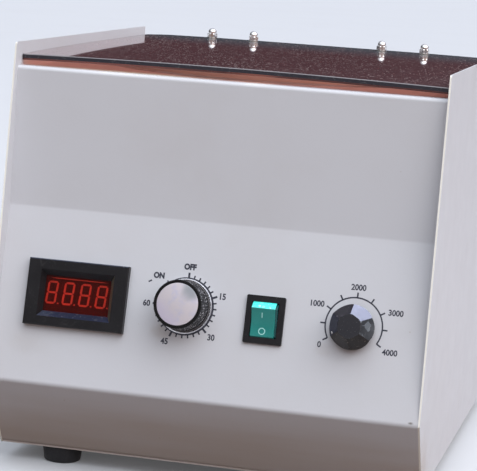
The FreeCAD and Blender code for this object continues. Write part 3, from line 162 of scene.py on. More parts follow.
class EffectLibrary:
    """Builds each shared shader group once, by the method with the effect's name."""

    def __init__(self) -> None:
        """Start with no group built."""
        self.groups: dict[Effect, bpy.types.NodeTree] = {}

    def group(self, effect: Effect) -> bpy.types.NodeTree:
        """The node group of an effect, built at its first use."""
        if effect in self.groups:
            return self.groups[effect]
        name, inputs = effect.value
        tree = bpy.data.node_groups.new(name, "ShaderNodeTree")
        add = tree.interface.new_socket
        add(name="Vector", in_out="INPUT", socket_type="NodeSocketVector")
        for key, value in inputs.items():
            tint = isinstance(value, tuple)
            kind = "NodeSocketColor" if tint else "NodeSocketFloat"
            socket = add(name=key, in_out="INPUT", socket_type=kind)
            socket.default_value = opaque(value) if tint else value
        for kind in ("Color", "Float") if effect is Effect.MOTTLE else ("Float",):
            add(name=kind, in_out="OUTPUT", socket_type="NodeSocket" + kind)
        sheet = NodeSheet(tree)
        given = sheet.add("NodeGroupInput").outputs[:len(inputs) + 1]
        made = getattr(self, effect.name.lower())(sheet, *given)
        sheet.add("NodeGroupOutput", dict(enumerate(made)))
        self.groups[effect] = tree
        return tree

    def mottle(self, sheet: NodeSheet, vector: Socket, color: Socket, stain: Socket,
               scale: Socket, amount: Socket) -> Outputs:
        """Colour that drifts a little lighter, darker and warmer, and the drift itself."""
        broad = sheet.noise(vector, scale, Detail=5.0, Roughness=0.6)
        share = sheet.times(sheet.ramp(broad, 0.42, 0.78), amount)
        return sheet.blend(share, color, stain), broad

    def grain(self, sheet: NodeSheet, vector: Socket, scale: Socket, sharpness: Socket) -> Outputs:
        """Even fine texture, such as orange peel or moulded grain."""
        noise = sheet.noise(vector, scale, Detail=3.0, Roughness=sharpness)
        return (sheet.ramp(noise, 0.25, 0.75),)

    def specks(self, sheet: NodeSheet, vector: Socket, scale: Socket, size: Socket,
               share: Socket) -> Outputs:
        """Small round specks, each of its own strength."""
        inputs = {"Vector": vector, "Scale": scale, "Randomness": 1.0}
        cells = sheet.add("ShaderNodeTexVoronoi", inputs).outputs
        pick, width, strength = sheet.add("ShaderNodeSeparateColor", {0: cells["Color"]}).outputs
        dot = sheet.math("LESS_THAN", cells["Distance"], sheet.times(size, width))
        chosen = sheet.math("LESS_THAN", pick, share)
        return (sheet.times(sheet.times(dot, chosen), strength),)

    def scratches(self, sheet: NodeSheet, vector: Socket, scale: Socket, width: Socket) -> Outputs:
        """Thin wandering hairlines."""
        bent = sheet.noise(vector, scale, Detail=1.0, Distortion=1.5)
        line = sheet.math("ABSOLUTE", sheet.math("SUBTRACT", bent, 0.5))
        patch = sheet.ramp(sheet.noise(vector, 130.0), 0.5, 0.62)
        return (sheet.times(sheet.math("LESS_THAN", line, width), patch),)

    def smudge(self, sheet: NodeSheet, vector: Socket, raggedness: Socket) -> Outputs:
        """Soft ragged patch around the vector's own origin, one unit in radius."""
        noise = sheet.noise(vector, 2.5, Detail=4.0)
        swing = sheet.times(sheet.math("SUBTRACT", noise, 0.5), raggedness)
        edge = sheet.math("ADD", sheet.length(vector), swing)
        return (sheet.ramp(sheet.math("SUBTRACT", 1.0, edge), 0.0, 0.9),)

    def lay(self, sheet: NodeSheet, vector: Socket, scale: Socket) -> Outputs:
        """Fine marks of a tool; the finish stretches the vector along them."""
        return (sheet.noise(vector, scale, Detail=6.0, Roughness=0.7),)


effects = EffectLibrary()


class MaterialSheet(NodeSheet):
    """Nodes of one material around a Principled shader."""

    def __init__(self, name: str) -> None:
        """Start the material with its shader, output and Object coordinates."""
        self.material = bpy.data.materials.new(name)
        self.material.use_nodes = True
        super().__init__(self.material.node_tree)
        self.shader = self.add("ShaderNodeBsdfPrincipled")
        self.output = self.add("ShaderNodeOutputMaterial", {"Surface": self.shader.outputs[0]})
        self.place = self.add("ShaderNodeTexCoord").outputs["Object"]

    def effect(self, effect: Effect, vector: Socket | None = None, output: int = 0,
               **inputs) -> Socket:
        """Place a shared effect with this material's own values.

        Args:
            effect: the effect.
            vector: coordinates in place of the object's own.
            output: number of the output that is wanted.
            inputs: the effect's inputs by name.

        Returns:
            The output socket.
        """
        values = {"Vector": vector or self.place, **inputs}
        node = self.add("ShaderNodeGroup", values, node_tree=effects.group(effect))
        return node.outputs[output]

    def around(self, centre: Point3) -> Socket:
        """Object coordinates counted from a centre."""
        return self.out("ShaderNodeMapping", {"Vector": self.place,
                                              "Location": [-c * MM for c in centre]})

    def stretched(self, scale: Point3, centre: Point3 = ORIGIN) -> Socket:
        """Object coordinates counted from a centre and scaled along each axis."""
        return self.out("ShaderNodeMapping", {"Vector": self.around(centre), "Scale": scale})

    def bump(self, height: Socket, depth: float) -> Socket:
        """Normal from a height; depth is the full height of the relief."""
        return self.out("ShaderNodeBump", {"Height": height, "Distance": depth * MM,
                                           "Strength": 1.0})

    def feed(self, **inputs) -> None:
        """Set or link inputs of the Principled shader, with underscores for spaces."""
        for name, value in inputs.items():
            self.put(self.shader.inputs[name.replace("_", " ")], value)

    def varied(self, base: float, swing: float, scale: float) -> Socket:
        """Value that drifts around base by swing."""
        noise = self.effect(Effect.GRAIN, Scale=scale, Sharpness=0.6)
        return self.math("MULTIPLY_ADD", noise, 2 * swing, base - swing)


@dataclass(frozen=True)
class Surface:
    """A finish: its material's name and its main colour."""

    name: str
    color: Color

    def material(self) -> Material:
        """Build the material."""
        sheet = MaterialSheet(self.name)
        self.fill(sheet)
        return sheet.material

    def fill(self, sheet: MaterialSheet) -> None:
        """Set out the finish on the sheet of its material."""
        raise NotImplementedError


@dataclass(frozen=True)
class TonePatch:
    """A patch of other tone at one place on a surface: a stain, a scuff, painted shadow, painted
    shade or painted light, or a spot where a lid lets more light pass.
    """

    centre: Point3
    radius: Point3
    color: Color
    strength: float


@dataclass(frozen=True)
class PowderCoat(Surface):
    """Baked powder paint with orange peel, faint soiling, small specks, and stains and patches of
    painted light and shade at given places.
    """

    stain: Color = (0.42, 0.36, 0.31)
    staining: float = 0.12
    roughness: float = 0.42
    peel: float = 0.012
    stains_and_painted_light: tuple[TonePatch, ...] = ()

    def fill(self, sheet: MaterialSheet) -> None:
        """Soil and fleck the paint, and lay on its stains and its patches of painted light and
        shade.
        """
        color = sheet.effect(Effect.MOTTLE, Color=self.color, Stain=self.stain, Scale=9.0,
                             Amount=self.staining)
        fleck = sheet.effect(Effect.SPECKS, Scale=130.0, Size=0.11, Share=0.10)
        color = sheet.blend(sheet.times(fleck, 0.5), color, self.stain)
        for smudge in self.stains_and_painted_light:
            near = sheet.stretched(tuple(1 / (r * MM) for r in smudge.radius), smudge.centre)
            mask = sheet.effect(Effect.SMUDGE, near, Raggedness=0.7)
            color = sheet.blend(sheet.times(mask, smudge.strength), color, smudge.color)
        peel = sheet.effect(Effect.GRAIN, Scale=520.0, Sharpness=0.35)
        sheet.feed(Base_Color=color, Roughness=sheet.varied(self.roughness, 0.05, 60.0),
                   Normal=sheet.bump(peel, self.peel), Specular_IOR_Level=0.4)


@dataclass(frozen=True)
class MouldedPlastic(Surface):
    """Moulded plastic with fine grain, specks and a few scratches; the specks are dust, and on
    some finishes painted glints and highlights.
    """

    roughness: float = 0.35
    grain: float = 0.01
    grain_scale: float = 2500.0
    dust_and_glints: float = 0.15
    dust_and_glint_color: Color = (0.32, 0.3, 0.29)
    coat: float = 0.0
    glow: float = 0.0
    speck_scale: float = 1300.0
    speck_size: float = 0.45
    speck_share: float = 0.35
    mottle: float = 0.35
    shine: float = 0.5
    sheen_tint: Color = (1.0, 1.0, 1.0)

    def fill(self, sheet: MaterialSheet) -> None:
        """Speck and scratch the plastic."""
        worn = tuple(min(1.0, c * 1.6 + 0.01) for c in self.color)
        tone = sheet.effect(Effect.MOTTLE, Color=self.color, Stain=worn, Scale=55.0,
                            Amount=self.mottle)
        speck = sheet.effect(Effect.SPECKS, Scale=self.speck_scale, Size=self.speck_size,
                             Share=self.speck_share)
        hair = sheet.effect(Effect.SCRATCHES, Scale=60.0, Width=0.006)
        marks = sheet.math("MAXIMUM", speck, sheet.times(hair, 0.6))
        color = sheet.blend(sheet.times(marks, self.dust_and_glints), tone, self.dust_and_glint_color)
        grain = sheet.effect(Effect.GRAIN, Scale=self.grain_scale, Sharpness=0.6)
        rough = sheet.math("ADD", sheet.varied(self.roughness, 0.05, 90.0),
                           sheet.times(marks, 0.2))
        sheet.feed(Base_Color=color, Roughness=rough, Normal=sheet.bump(grain, self.grain),
                   Specular_IOR_Level=self.shine, Specular_Tint=self.sheen_tint)
        if self.coat:
            sheet.feed(Coat_Weight=self.coat, Coat_Roughness=0.08)
        # Painted glow: a finish with a glow emits light in its own colour.
        if self.glow:
            sheet.feed(Emission_Color=color, Emission_Strength=self.glow)


class Lay(Enum):
    """Direction of the tool marks on a metal."""

    BRUSHED = "brushed"
    SPUN = "spun"
    CAST = "cast"
    PLATED = "plated"


@dataclass(frozen=True)
class Metal(Surface):
    """Bare or plated metal with its tool marks."""

    roughness: float
    lay: Lay
    centre: Point3 = ORIGIN
    relief: float = 0.004
    tarnish: float = 0.2

    def fill(self, sheet: MaterialSheet) -> None:
        """Tarnish the metal and mark it."""
        dull = tuple(c * 0.62 for c in self.color)
        tone = sheet.effect(Effect.MOTTLE, Color=self.color, Stain=dull, Scale=35.0,
                            Amount=self.tarnish)
        marks = self.marks(sheet)
        hair = sheet.effect(Effect.SCRATCHES, Scale=45.0, Width=0.005)
        sheet.feed(Base_Color=sheet.blend(sheet.times(hair, 0.25), tone, dull), Metallic=1.0,
                   Roughness=sheet.math("MULTIPLY_ADD", marks, 0.14, self.roughness - 0.07),
                   Normal=sheet.bump(marks, self.relief))

    def marks(self, sheet: MaterialSheet) -> Socket:
        """Height of the tool marks for this lay."""
        if self.lay is Lay.BRUSHED:
            return sheet.effect(Effect.LAY, sheet.stretched((1.0, 30.0, 30.0)), Scale=90.0)
        if self.lay is Lay.SPUN:
            x, y, z = sheet.parts(sheet.around(self.centre))
            path = sheet.vector(sheet.length(sheet.vector(x, y)), z)
            return sheet.effect(Effect.LAY, path, Scale=1400.0)
        scale = 900.0 if self.lay is Lay.CAST else 220.0
        return sheet.effect(Effect.GRAIN, Scale=scale, Sharpness=0.7)


@dataclass(frozen=True)
class Rubber(Surface):
    """Matt rubber with a dusty bloom."""

    bloom: float = 0.3

    def fill(self, sheet: MaterialSheet) -> None:
        """Bloom and grain the rubber."""
        tone = sheet.effect(Effect.MOTTLE, Color=self.color, Stain=(0.16, 0.15, 0.14),
                            Scale=70.0, Amount=self.bloom)
        grain = sheet.effect(Effect.GRAIN, Scale=1600.0, Sharpness=0.7)
        sheet.feed(Base_Color=tone, Roughness=sheet.varied(0.72, 0.08, 150.0),
                   Normal=sheet.bump(grain, 0.02), Sheen_Weight=0.15)


@dataclass(frozen=True)
class TintedAcrylic(Surface):
    """Clear tinted sheet with dust; lamps shine through it in its own tint."""

    dust_and_glint_color: Color
    dust_and_glints: float
    roughness: float
    passing: Color
    body: float = 0.9
    index: float = 1.49
    film: float = 0.0
    film_color: Color = (0.15, 0.05, 0.058)
    # Where more light passes: its tint there and how much stronger it is.
    clear_spot: TonePatch | None = None
    # Painted reflection: the film's cooler tone towards the back, standing in for what the back of
    # the sheet mirrors.
    painted_back_reflection: Color | None = None

    def fill(self, sheet: MaterialSheet) -> None:
        """Dust the sheet, film it over and let the light of lamps pass."""
        lint = sheet.stretched((1.0, 0.3, 1.0))
        fine = sheet.effect(Effect.SPECKS, lint, Scale=850.0, Size=0.5, Share=0.85)
        coarse = sheet.effect(Effect.SPECKS, lint, Scale=430.0, Size=0.34, Share=0.5)
        cloud = sheet.effect(Effect.MOTTLE, output=1, Scale=25.0)
        hair = sheet.effect(Effect.SCRATCHES, Scale=25.0, Width=0.003)
        marks = sheet.math("MAXIMUM", sheet.math("MAXIMUM", fine, coarse), hair)
        share = sheet.times(marks, self.dust_and_glints)
        smooth = sheet.math("MULTIPLY_ADD", cloud, 0.08, self.roughness - 0.02)
        wave = sheet.effect(Effect.GRAIN, Scale=70.0)
        sheet.feed(Base_Color=sheet.blend(sheet.times(share, 0.4), self.color, self.dust_and_glint_color),
                   Roughness=sheet.math("ADD", smooth, sheet.times(share, 0.25)),
                   Transmission_Weight=self.body, IOR=self.index,
                   Normal=sheet.bump(wave, 0.004))
        front = self.filmed(sheet, cloud, share) if self.film else sheet.shader.outputs[0]
        through = sheet.out("ShaderNodeBsdfTransparent", {0: self.veil(sheet)})
        shadow = sheet.add("ShaderNodeLightPath").outputs["Is Shadow Ray"]
        both = sheet.out("ShaderNodeMixShader", {0: shadow, 1: front, 2: through})
        sheet.put(sheet.output.inputs["Surface"], both)

    def filmed(self, sheet: MaterialSheet, cloud: Socket, share: Socket) -> Socket:
        """Lay a cloudy film over the sheet, denser where it is seen at a low angle.

        Args:
            sheet: the nodes of the material.
            cloud: drift of the film's tone.
            share: cover of dust.

        Returns:
            The shader of the filmed sheet.
        """
        sheet.feed(Coat_Weight=1.0, Coat_Roughness=0.02, Coat_IOR=1.7)
        facing = sheet.add("ShaderNodeLayerWeight").outputs["Facing"]
        cover = sheet.times(sheet.ramp(facing, 0.45, 0.93), self.film)
        pale = tuple(1.8 * c for c in self.film_color)
        cloudy = sheet.blend(sheet.times(cloud, 0.5), self.film_color, pale)
        # Painted reflection: the film turns to the cooler tone towards the back.
        if self.painted_back_reflection:
            depth = sheet.ramp(sheet.parts(sheet.place)[1], 0.06, 0.19)
            cloudy = sheet.blend(depth, cloudy, self.painted_back_reflection)
        dusty = sheet.out("ShaderNodeBsdfDiffuse",
                          {0: sheet.blend(share, cloudy, self.dust_and_glint_color)})
        return sheet.out("ShaderNodeMixShader", {0: cover, 1: sheet.shader.outputs[0], 2: dusty})

    def veil(self, sheet: MaterialSheet) -> Socket | Color:
        """Tint of the light that passes, paler at the clear spot."""
        tint = tuple(math.sqrt(c) for c in self.passing)
        spot = self.clear_spot
        if spot is None:
            return tint
        near = sheet.stretched(tuple(1 / (r * MM) for r in spot.radius), spot.centre)
        bare = tuple(min(1.0, spot.strength * math.sqrt(c)) for c in spot.color)
        return sheet.blend(sheet.effect(Effect.SMUDGE, near, Raggedness=0.9), tint, bare)


@dataclass(frozen=True)
class PrintInk(Surface):
    """Screen-printed ink, thin in places."""

    under: Color
    wear: float = 0.35

    def fill(self, sheet: MaterialSheet) -> None:
        """Let what is under the ink show where it is thin."""
        thin = sheet.effect(Effect.GRAIN, Scale=1400.0, Sharpness=0.8)
        gaps = sheet.times(sheet.ramp(thin, 0.45, 1.0), self.wear)
        sheet.feed(Base_Color=sheet.blend(gaps, self.color, self.under),
                   Roughness=sheet.varied(0.5, 0.06, 200.0), Normal=sheet.bump(thin, 0.006))


@dataclass(frozen=True)
class Laminations(Surface):
    """Edges of stacked steel plates."""

    gap: Color = (0.02, 0.018, 0.016)

    def fill(self, sheet: MaterialSheet) -> None:
        """Set dark gaps between the plates."""
        wave = {"Vector": sheet.place, "Scale": 320.0, "Distortion": 0.3}
        lines = sheet.add("ShaderNodeTexWave", wave, bands_direction="Z").outputs["Fac"]
        tone = sheet.effect(Effect.MOTTLE, Color=self.color, Stain=(0.1, 0.06, 0.04),
                            Scale=80.0, Amount=0.4)
        sheet.feed(Base_Color=sheet.blend(sheet.times(lines, 0.5), tone, self.gap),
                   Metallic=0.7, Roughness=sheet.varied(0.5, 0.08, 100.0),
                   Normal=sheet.bump(lines, 0.05))


@dataclass(frozen=True)
class SpunCap(Surface):
    """Satin metal disc with round tool marks and two faint fans of painted reflection."""

    roughness: float
    centre: Point3
    # Directions in which the two fans of painted reflection open, and their tones.
    blue_way: Point3 = (-0.72, -0.16, -0.68)
    blue: Color = (0.64, 0.58, 0.68)
    dark_way: Point3 = (0.66, 0.17, 0.73)
    dark: Color = (0.34, 0.35, 0.37)

    def fill(self, sheet: MaterialSheet) -> None:
        """Spin the marks around the centre, and lay the fans of painted reflection."""
        away = sheet.around(self.centre)
        reach = sheet.length(away)
        marks = sheet.effect(Effect.LAY, sheet.vector(reach), Scale=1800.0)
        cool = (self.color[0] * 0.82, self.color[1] * 0.88, self.color[2] * 1.08)
        shades = sheet.effect(Effect.MOTTLE, Color=self.color, Stain=cool, Scale=170.0,
                              Amount=0.7)
        side = sheet.out("ShaderNodeVectorMath", {0: away}, operation="NORMALIZE")
        for way, low, shade in ((self.blue_way, 0.35, self.blue), (self.dark_way, 0.8, self.dark)):
            dot = sheet.add("ShaderNodeVectorMath", {0: side, 1: way}, operation="DOT_PRODUCT")
            lean = sheet.ramp(dot.outputs["Value"], low, 1.0)
            shades = sheet.blend(sheet.times(lean, sheet.ramp(reach, 0.003, 0.012)), shades, shade)
        sheet.feed(Base_Color=shades, Metallic=0.6,
                   Roughness=sheet.math("MULTIPLY_ADD", marks, 0.1, self.roughness - 0.05),
                   Normal=sheet.bump(marks, 0.006))


PAINT_TONE: Color = (0.63, 0.635, 0.665)
LID_PASSING: Color = (1.0, 0.42, 0.31)

SLOT_SURFACES: dict[str, Surface] = {
    "white_paint": PowderCoat("white_powder_coat", PAINT_TONE, stains_and_painted_light=(
        TonePatch((-121.0, -178.5, 88.0), (16.0, 14.0, 11.0), (0.36, 0.3, 0.25), 0.12),
        TonePatch((138.0, -184.0, 64.5), (2.4, 4.0, 1.1), (0.14, 0.12, 0.1), 0.85),
        # Painted shadows below and to the left of the timer knob and the speed knob.
        TonePatch((-30.0, -172.5, 103.5), (11.0, 10.0, 8.0), (0.36, 0.29, 0.22), 0.3),
        TonePatch((78.0, -172.5, 103.0), (10.0, 10.0, 7.0), (0.38, 0.31, 0.25), 0.16),
        # Painted shade: the inner face of the left wall, above the lid, a little darker.
        TonePatch((-142.8, 5.0, 276.0), (2.5, 190.0, 14.0), (0.4, 0.38, 0.4), 0.1),
        # Painted light: two pale patches on the deck just behind the front fold, standing in for
        # light that reaches it under and through the lid.
        TonePatch((-70.0, -138.0, 268.0), (90.0, 22.0, 5.0), (0.98, 0.95, 0.9), 1.0),
        TonePatch((16.0, -138.0, 268.0), (26.0, 22.0, 5.0), (0.98, 0.95, 0.9), 1.0),
        # Painted shade: the lower front and its chin darker and browner towards the bottom.
        TonePatch((0.0, -176.0, -6.0), (600.0, 90.0, 75.0), (0.44, 0.36, 0.3), 1.0))),
    "lid_tint": TintedAcrylic(
        "tinted_lid_acrylic", (0.13, 0.034, 0.032), (0.95, 0.76, 0.73), 1.0, 0.04, LID_PASSING,
        # Painted reflection on the lid: its film turns grey-blue towards the back.
        body=0.75, film=0.17, film_color=(0.14, 0.045, 0.055), painted_back_reflection=(0.13, 0.2, 0.24),
        clear_spot=TonePatch((-66.0, -146.0, 275.8), (100.0, 24.0, 40.0), LID_PASSING, 1.45)),
    "chamber_steel": Metal("spun_chamber_steel", (0.62, 0.62, 0.63), 0.3, Lay.SPUN, ROTOR_AXIS),
    "gasket_rubber": Rubber("gasket_rubber", (0.03, 0.03, 0.031)),
    "seal_rubber": Rubber("grey_silicone_seal", (0.5, 0.48, 0.46), 0.1),
    "foot_rubber": Rubber("foot_rubber", (0.007, 0.006, 0.008), 0.08),
    "zinc": Metal("zinc_plate", (0.6, 0.6, 0.57), 0.3, Lay.PLATED, tarnish=0.35),
    "chrome": Metal("bright_nickel", (0.93, 0.91, 0.89), 0.16, Lay.PLATED, tarnish=0.08,
                    relief=0.002),
    "hinge_steel": Metal("hinge_steel", (0.55, 0.55, 0.54), 0.32, Lay.BRUSHED),
    "black_plastic": MouldedPlastic("glossy_black_plastic", (0.006, 0.006, 0.011), 0.17, 0.008,
                                    dust_and_glints=0.12, coat=0.36),
    "black_matte": MouldedPlastic("satin_black_plastic", (0.005, 0.004, 0.005), 0.36, 0.012,
                                  1800.0, dust_and_glints=0.06, shine=0.3),
    # Pale specks on the knurl: dust, and painted glints of its teeth.
    "knurled_black": MouldedPlastic(
        "knurled_black_plastic", (0.005, 0.005, 0.008), 0.28, 0.006, dust_and_glints=1.0,
        dust_and_glint_color=(0.72, 0.72, 0.77), speck_scale=950.0, speck_size=0.6, speck_share=0.65),
    # Painted glow: the rocker emits a little light in its own colour.
    "rocker_green": MouldedPlastic("rocker_green_plastic", (0.01, 0.2, 0.175), 0.32, 0.003,
                                   dust_and_glint_color=(0.1, 0.4, 0.36), glow=0.05),
    "window_red": TintedAcrylic("red_window", (0.62, 0.08, 0.05), (0.5, 0.2, 0.2), 0.004, 0.05,
                                (0.62, 0.05, 0.04), body=0.97, index=1.2),
    # Painted glow: the bars of the meter, which is off, emit light.
    "digit_red": MouldedPlastic("unlit_bar_red", (0.55, 0.6, 0.6), 0.5, 0.003, glow=0.3),
    "rotor_alloy": Metal("rotor_alloy", (0.5, 0.51, 0.53), 0.36, Lay.SPUN, ROTOR_AXIS),
    "sleeve_alloy": Metal("sleeve_alloy", (0.66, 0.67, 0.69), 0.3, Lay.CAST),
    "shaft_steel": Metal("shaft_steel", (0.56, 0.56, 0.57), 0.22, Lay.SPUN, ROTOR_AXIS),
    "motor_paint": PowderCoat("motor_enamel", (0.06, 0.068, 0.075), (0.03, 0.03, 0.03), 0.3,
                              0.35),
    "motor_cast": Metal("motor_casting", (0.5, 0.5, 0.5), 0.5, Lay.CAST, relief=0.03),
    "lamination": Laminations("stacked_plates", (0.2, 0.18, 0.17)),
    "copper": Metal("copper_bars", (0.72, 0.36, 0.22), 0.3, Lay.SPUN, ROTOR_AXIS),
    "carbon": MouldedPlastic("pressed_carbon", (0.02, 0.02, 0.02), 0.55, 0.02),
    "fan_plastic": MouldedPlastic("pale_fan_plastic", (0.62, 0.6, 0.55), 0.4, 0.01),
    "board_green": MouldedPlastic("board_green", (0.02, 0.13, 0.06), 0.3, 0.004, coat=0.4),
    "board_parts": MouldedPlastic("board_parts_plastic", (0.03, 0.035, 0.06), 0.35, 0.01),
    "movement": Metal("movement_case", (0.55, 0.53, 0.48), 0.35, Lay.BRUSHED),
    "brass_pins": Metal("brass_pins", (0.72, 0.58, 0.33), 0.25, Lay.PLATED),
}

OWN_SURFACES: tuple[Surface, ...] = (
    PrintInk("panel_ink", (0.022, 0.023, 0.04), PAINT_TONE, 0.1),
    PrintInk("pale_mark_ink", (0.38, 0.72, 0.68), (0.05, 0.35, 0.3), 0.4),
    # Painted highlight: the side panels' cut front edges take a paler, glossier paint.
    PowderCoat("cut_edge_paint", (0.97, 0.95, 0.88), (0.7, 0.62, 0.5), 0.1, 0.3),
    PrintInk("white_dot_paint", (0.85, 0.86, 0.88), (0.4, 0.4, 0.42), 0.25),
    # Painted glow and painted highlight streaks on the rocker's upper end: it emits light, and its
    # pale specks stand for light caught in the green plastic.
    MouldedPlastic("lit_rocker_end", (0.05, 0.62, 0.55), 0.12, 0.003, dust_and_glints=0.9,
                   dust_and_glint_color=(0.5, 1.0, 0.95), coat=0.8, glow=0.4, speck_scale=420.0,
                   speck_size=0.7, speck_share=0.6, mottle=0.8),
    # Painted shade: the rocker's sunken sides, a darker copy of its green.
    MouldedPlastic("rocker_side_green", (0.003, 0.07, 0.07), 0.3, 0.003, dust_and_glints=0.05),
    MouldedPlastic("sawn_acrylic_edge", (0.016, 0.013, 0.019), 0.4, 0.03, 900.0, dust_and_glints=0.3,
                   shine=0.4),
    # Painted glow: the lower cut edge of the lid takes a warm orange-red paint, brighter in two
    # patches along the front, standing in for light through the tinted sheet.
    PowderCoat("warm_acrylic_edge", (0.075, 0.022, 0.018), (0.05, 0.014, 0.012), 0.3, 0.3,
               stains_and_painted_light=(
        TonePatch((-84.0, -150.0, 273.0), (78.0, 30.0, 20.0), (0.24, 0.08, 0.064), 0.7),
        TonePatch((16.0, -150.0, 273.0), (24.0, 30.0, 20.0), (0.3, 0.1, 0.07), 0.7))),
    # Painted reflection: the bezel's lower slope takes a bluish tone and a bluish sheen tint for
    # the sky it mirrors; its gloss is real.
    MouldedPlastic("polished_bezel_slope", (0.02, 0.024, 0.045), 0.14, 0.002, dust_and_glints=0.35,
                   coat=0.35, sheen_tint=(0.8, 0.85, 1.0)),
    # A lighter olive tone for the right slope of the bezel's recess.
    MouldedPlastic("dusty_bezel_slope", (0.075, 0.066, 0.045), 0.4, 0.004, dust_and_glints=0.3),
    # Grey painted highlight: on the lid's worn top chamfer, where it is both wear and a painted
    # highlight, and on the inner step of the timer's base ring.
    MouldedPlastic("worn_acrylic_edge", (0.2, 0.19, 0.2), 0.35, 0.02, 1200.0, dust_and_glints=0.5),
    MouldedPlastic("knob_side_black", (0.004, 0.0035, 0.0035), 0.5, 0.004, dust_and_glints=0.05,
                   shine=0.15),
    # Painted reflections on the speed knob's facets: one black plastic in bright, grey, brown,
    # blue and violet copies, each standing in for what that facet mirrors.
    MouldedPlastic("bright_facet", (0.3, 0.32, 0.43), 0.16, 0.004, dust_and_glints=0.6,
                   dust_and_glint_color=(0.1, 0.11, 0.16), coat=0.6, speck_scale=420.0, speck_size=0.6,
                   mottle=0.8),
    MouldedPlastic("cloudy_facet", (0.03, 0.033, 0.038), 0.18, 0.004, dust_and_glints=0.9,
                   dust_and_glint_color=(0.3, 0.34, 0.38), coat=0.5, speck_scale=230.0, speck_size=0.9,
                   speck_share=0.5, mottle=0.9),
    MouldedPlastic("brown_facet", (0.012, 0.008, 0.006), 0.3, 0.006, dust_and_glints=0.6, shine=0.25,
                   dust_and_glint_color=(0.2, 0.16, 0.14), speck_scale=800.0, speck_size=0.6, mottle=0.8),
    MouldedPlastic("blue_facet", (0.006, 0.008, 0.026), 0.34, 0.006, dust_and_glints=0.4, shine=0.12,
                   dust_and_glint_color=(0.12, 0.14, 0.3), speck_scale=800.0),
    MouldedPlastic("violet_facet", (0.012, 0.01, 0.016), 0.34, 0.006, dust_and_glints=0.6, shine=0.14,
                   dust_and_glint_color=(0.2, 0.18, 0.22), speck_scale=500.0, speck_size=0.7, mottle=0.9),
    Metal("dull_base_ring", (0.88, 0.88, 0.92), 0.26, Lay.PLATED),
)


class Finishes:
    """Every material of the object, under its slot's name or else its own."""

    def __init__(self) -> None:
        """Build the materials."""
        self.made = {slot: surface.material() for slot, surface in SLOT_SURFACES.items()}
        self.made.update({surface.name: surface.material() for surface in OWN_SURFACES})

    def __getitem__(self, name: str) -> Material:
        """Material by its name here."""
        return self.made[name]


def face_place(x: float, drop: float, lift: float = 0.0, turn: float = 0.0) -> Matrix:
    """Placement on the control face.

    Args:
        x: distance across the case.
        drop: distance down the face from the bend.
        lift: distance out of the panel.
        turn: turn about the outward normal, in radians.

    Returns:
        The matrix, with X across, Y up the face and Z out of it.
    """
    sine, cosine = math.sin(FACE_TILT), math.cos(FACE_TILT)
    face = Matrix(((1, 0, 0, 0), (0, sine, -cosine, BEND_Y * MM), (0, cosine, sine, BEND_Z * MM),
                   (0, 0, 0, 1)))
    shift = Matrix.Translation(Vector((x, -drop, lift)) * MM)
    return face @ shift @ Matrix.Rotation(turn, 4, "Z")


def up_the_face() -> Vector:
    """Direction up along the control face."""
    return face_place(0.0, 0.0).to_3x3() @ Vector((0.0, 1.0, 0.0))


def polar(radius: float, angle: float, z: float = 0.0) -> Vector:
    """Point at a radius and an angle in radians, about Z."""
    return Vector((radius * math.cos(angle), radius * math.sin(angle), z))


def circle(radius: float, z: float, count: int) -> Ring:
    """Points around a circle about Z."""
    return [polar(radius, 2 * math.pi * k / count, z) for k in range(count)]


def clock(radius: float, degrees: float, z: float = 0.0) -> Vector:
    """Point on a dial: degrees run clockwise from the top."""
    return polar(radius, math.radians(90.0 - degrees), z)


def rectangle(x0: float, x1: float, y0: float, y1: float) -> list[Point2]:
    """Outline of a rectangle."""
    return [(x0, y0), (x1, y0), (x1, y1), (x0, y1)]


def softened(points: Sequence[Point2], radii: Sequence[float], steps: int = 4) -> list[Point2]:
    """Open outline with its inner corners rounded.

    Args:
        points: corners of the outline.
        radii: one radius for each corner between the ends.
        steps: points of each arc, less one.

    Returns:
        The rounded outline.
    """
    result = [points[0]]
    for before, corner, after, radius in zip(points, points[1:], points[2:], radii):
        here = Vector(corner)
        back = (Vector(before) - here).normalized()
        ahead = (Vector(after) - here).normalized()
        half = back.angle(ahead) / 2
        if radius <= 0 or half > math.radians(89):
            result.append(corner)
            continue
        trim = radius / math.tan(half)
        centre = here + (back + ahead).normalized() * (radius / math.sin(half))
        first, last = here + back * trim - centre, here + ahead * trim - centre
        for k in range(steps + 1):
            result.append(tuple(centre + first.lerp(last, k / steps).normalized() * radius))
    return result + [points[-1]]


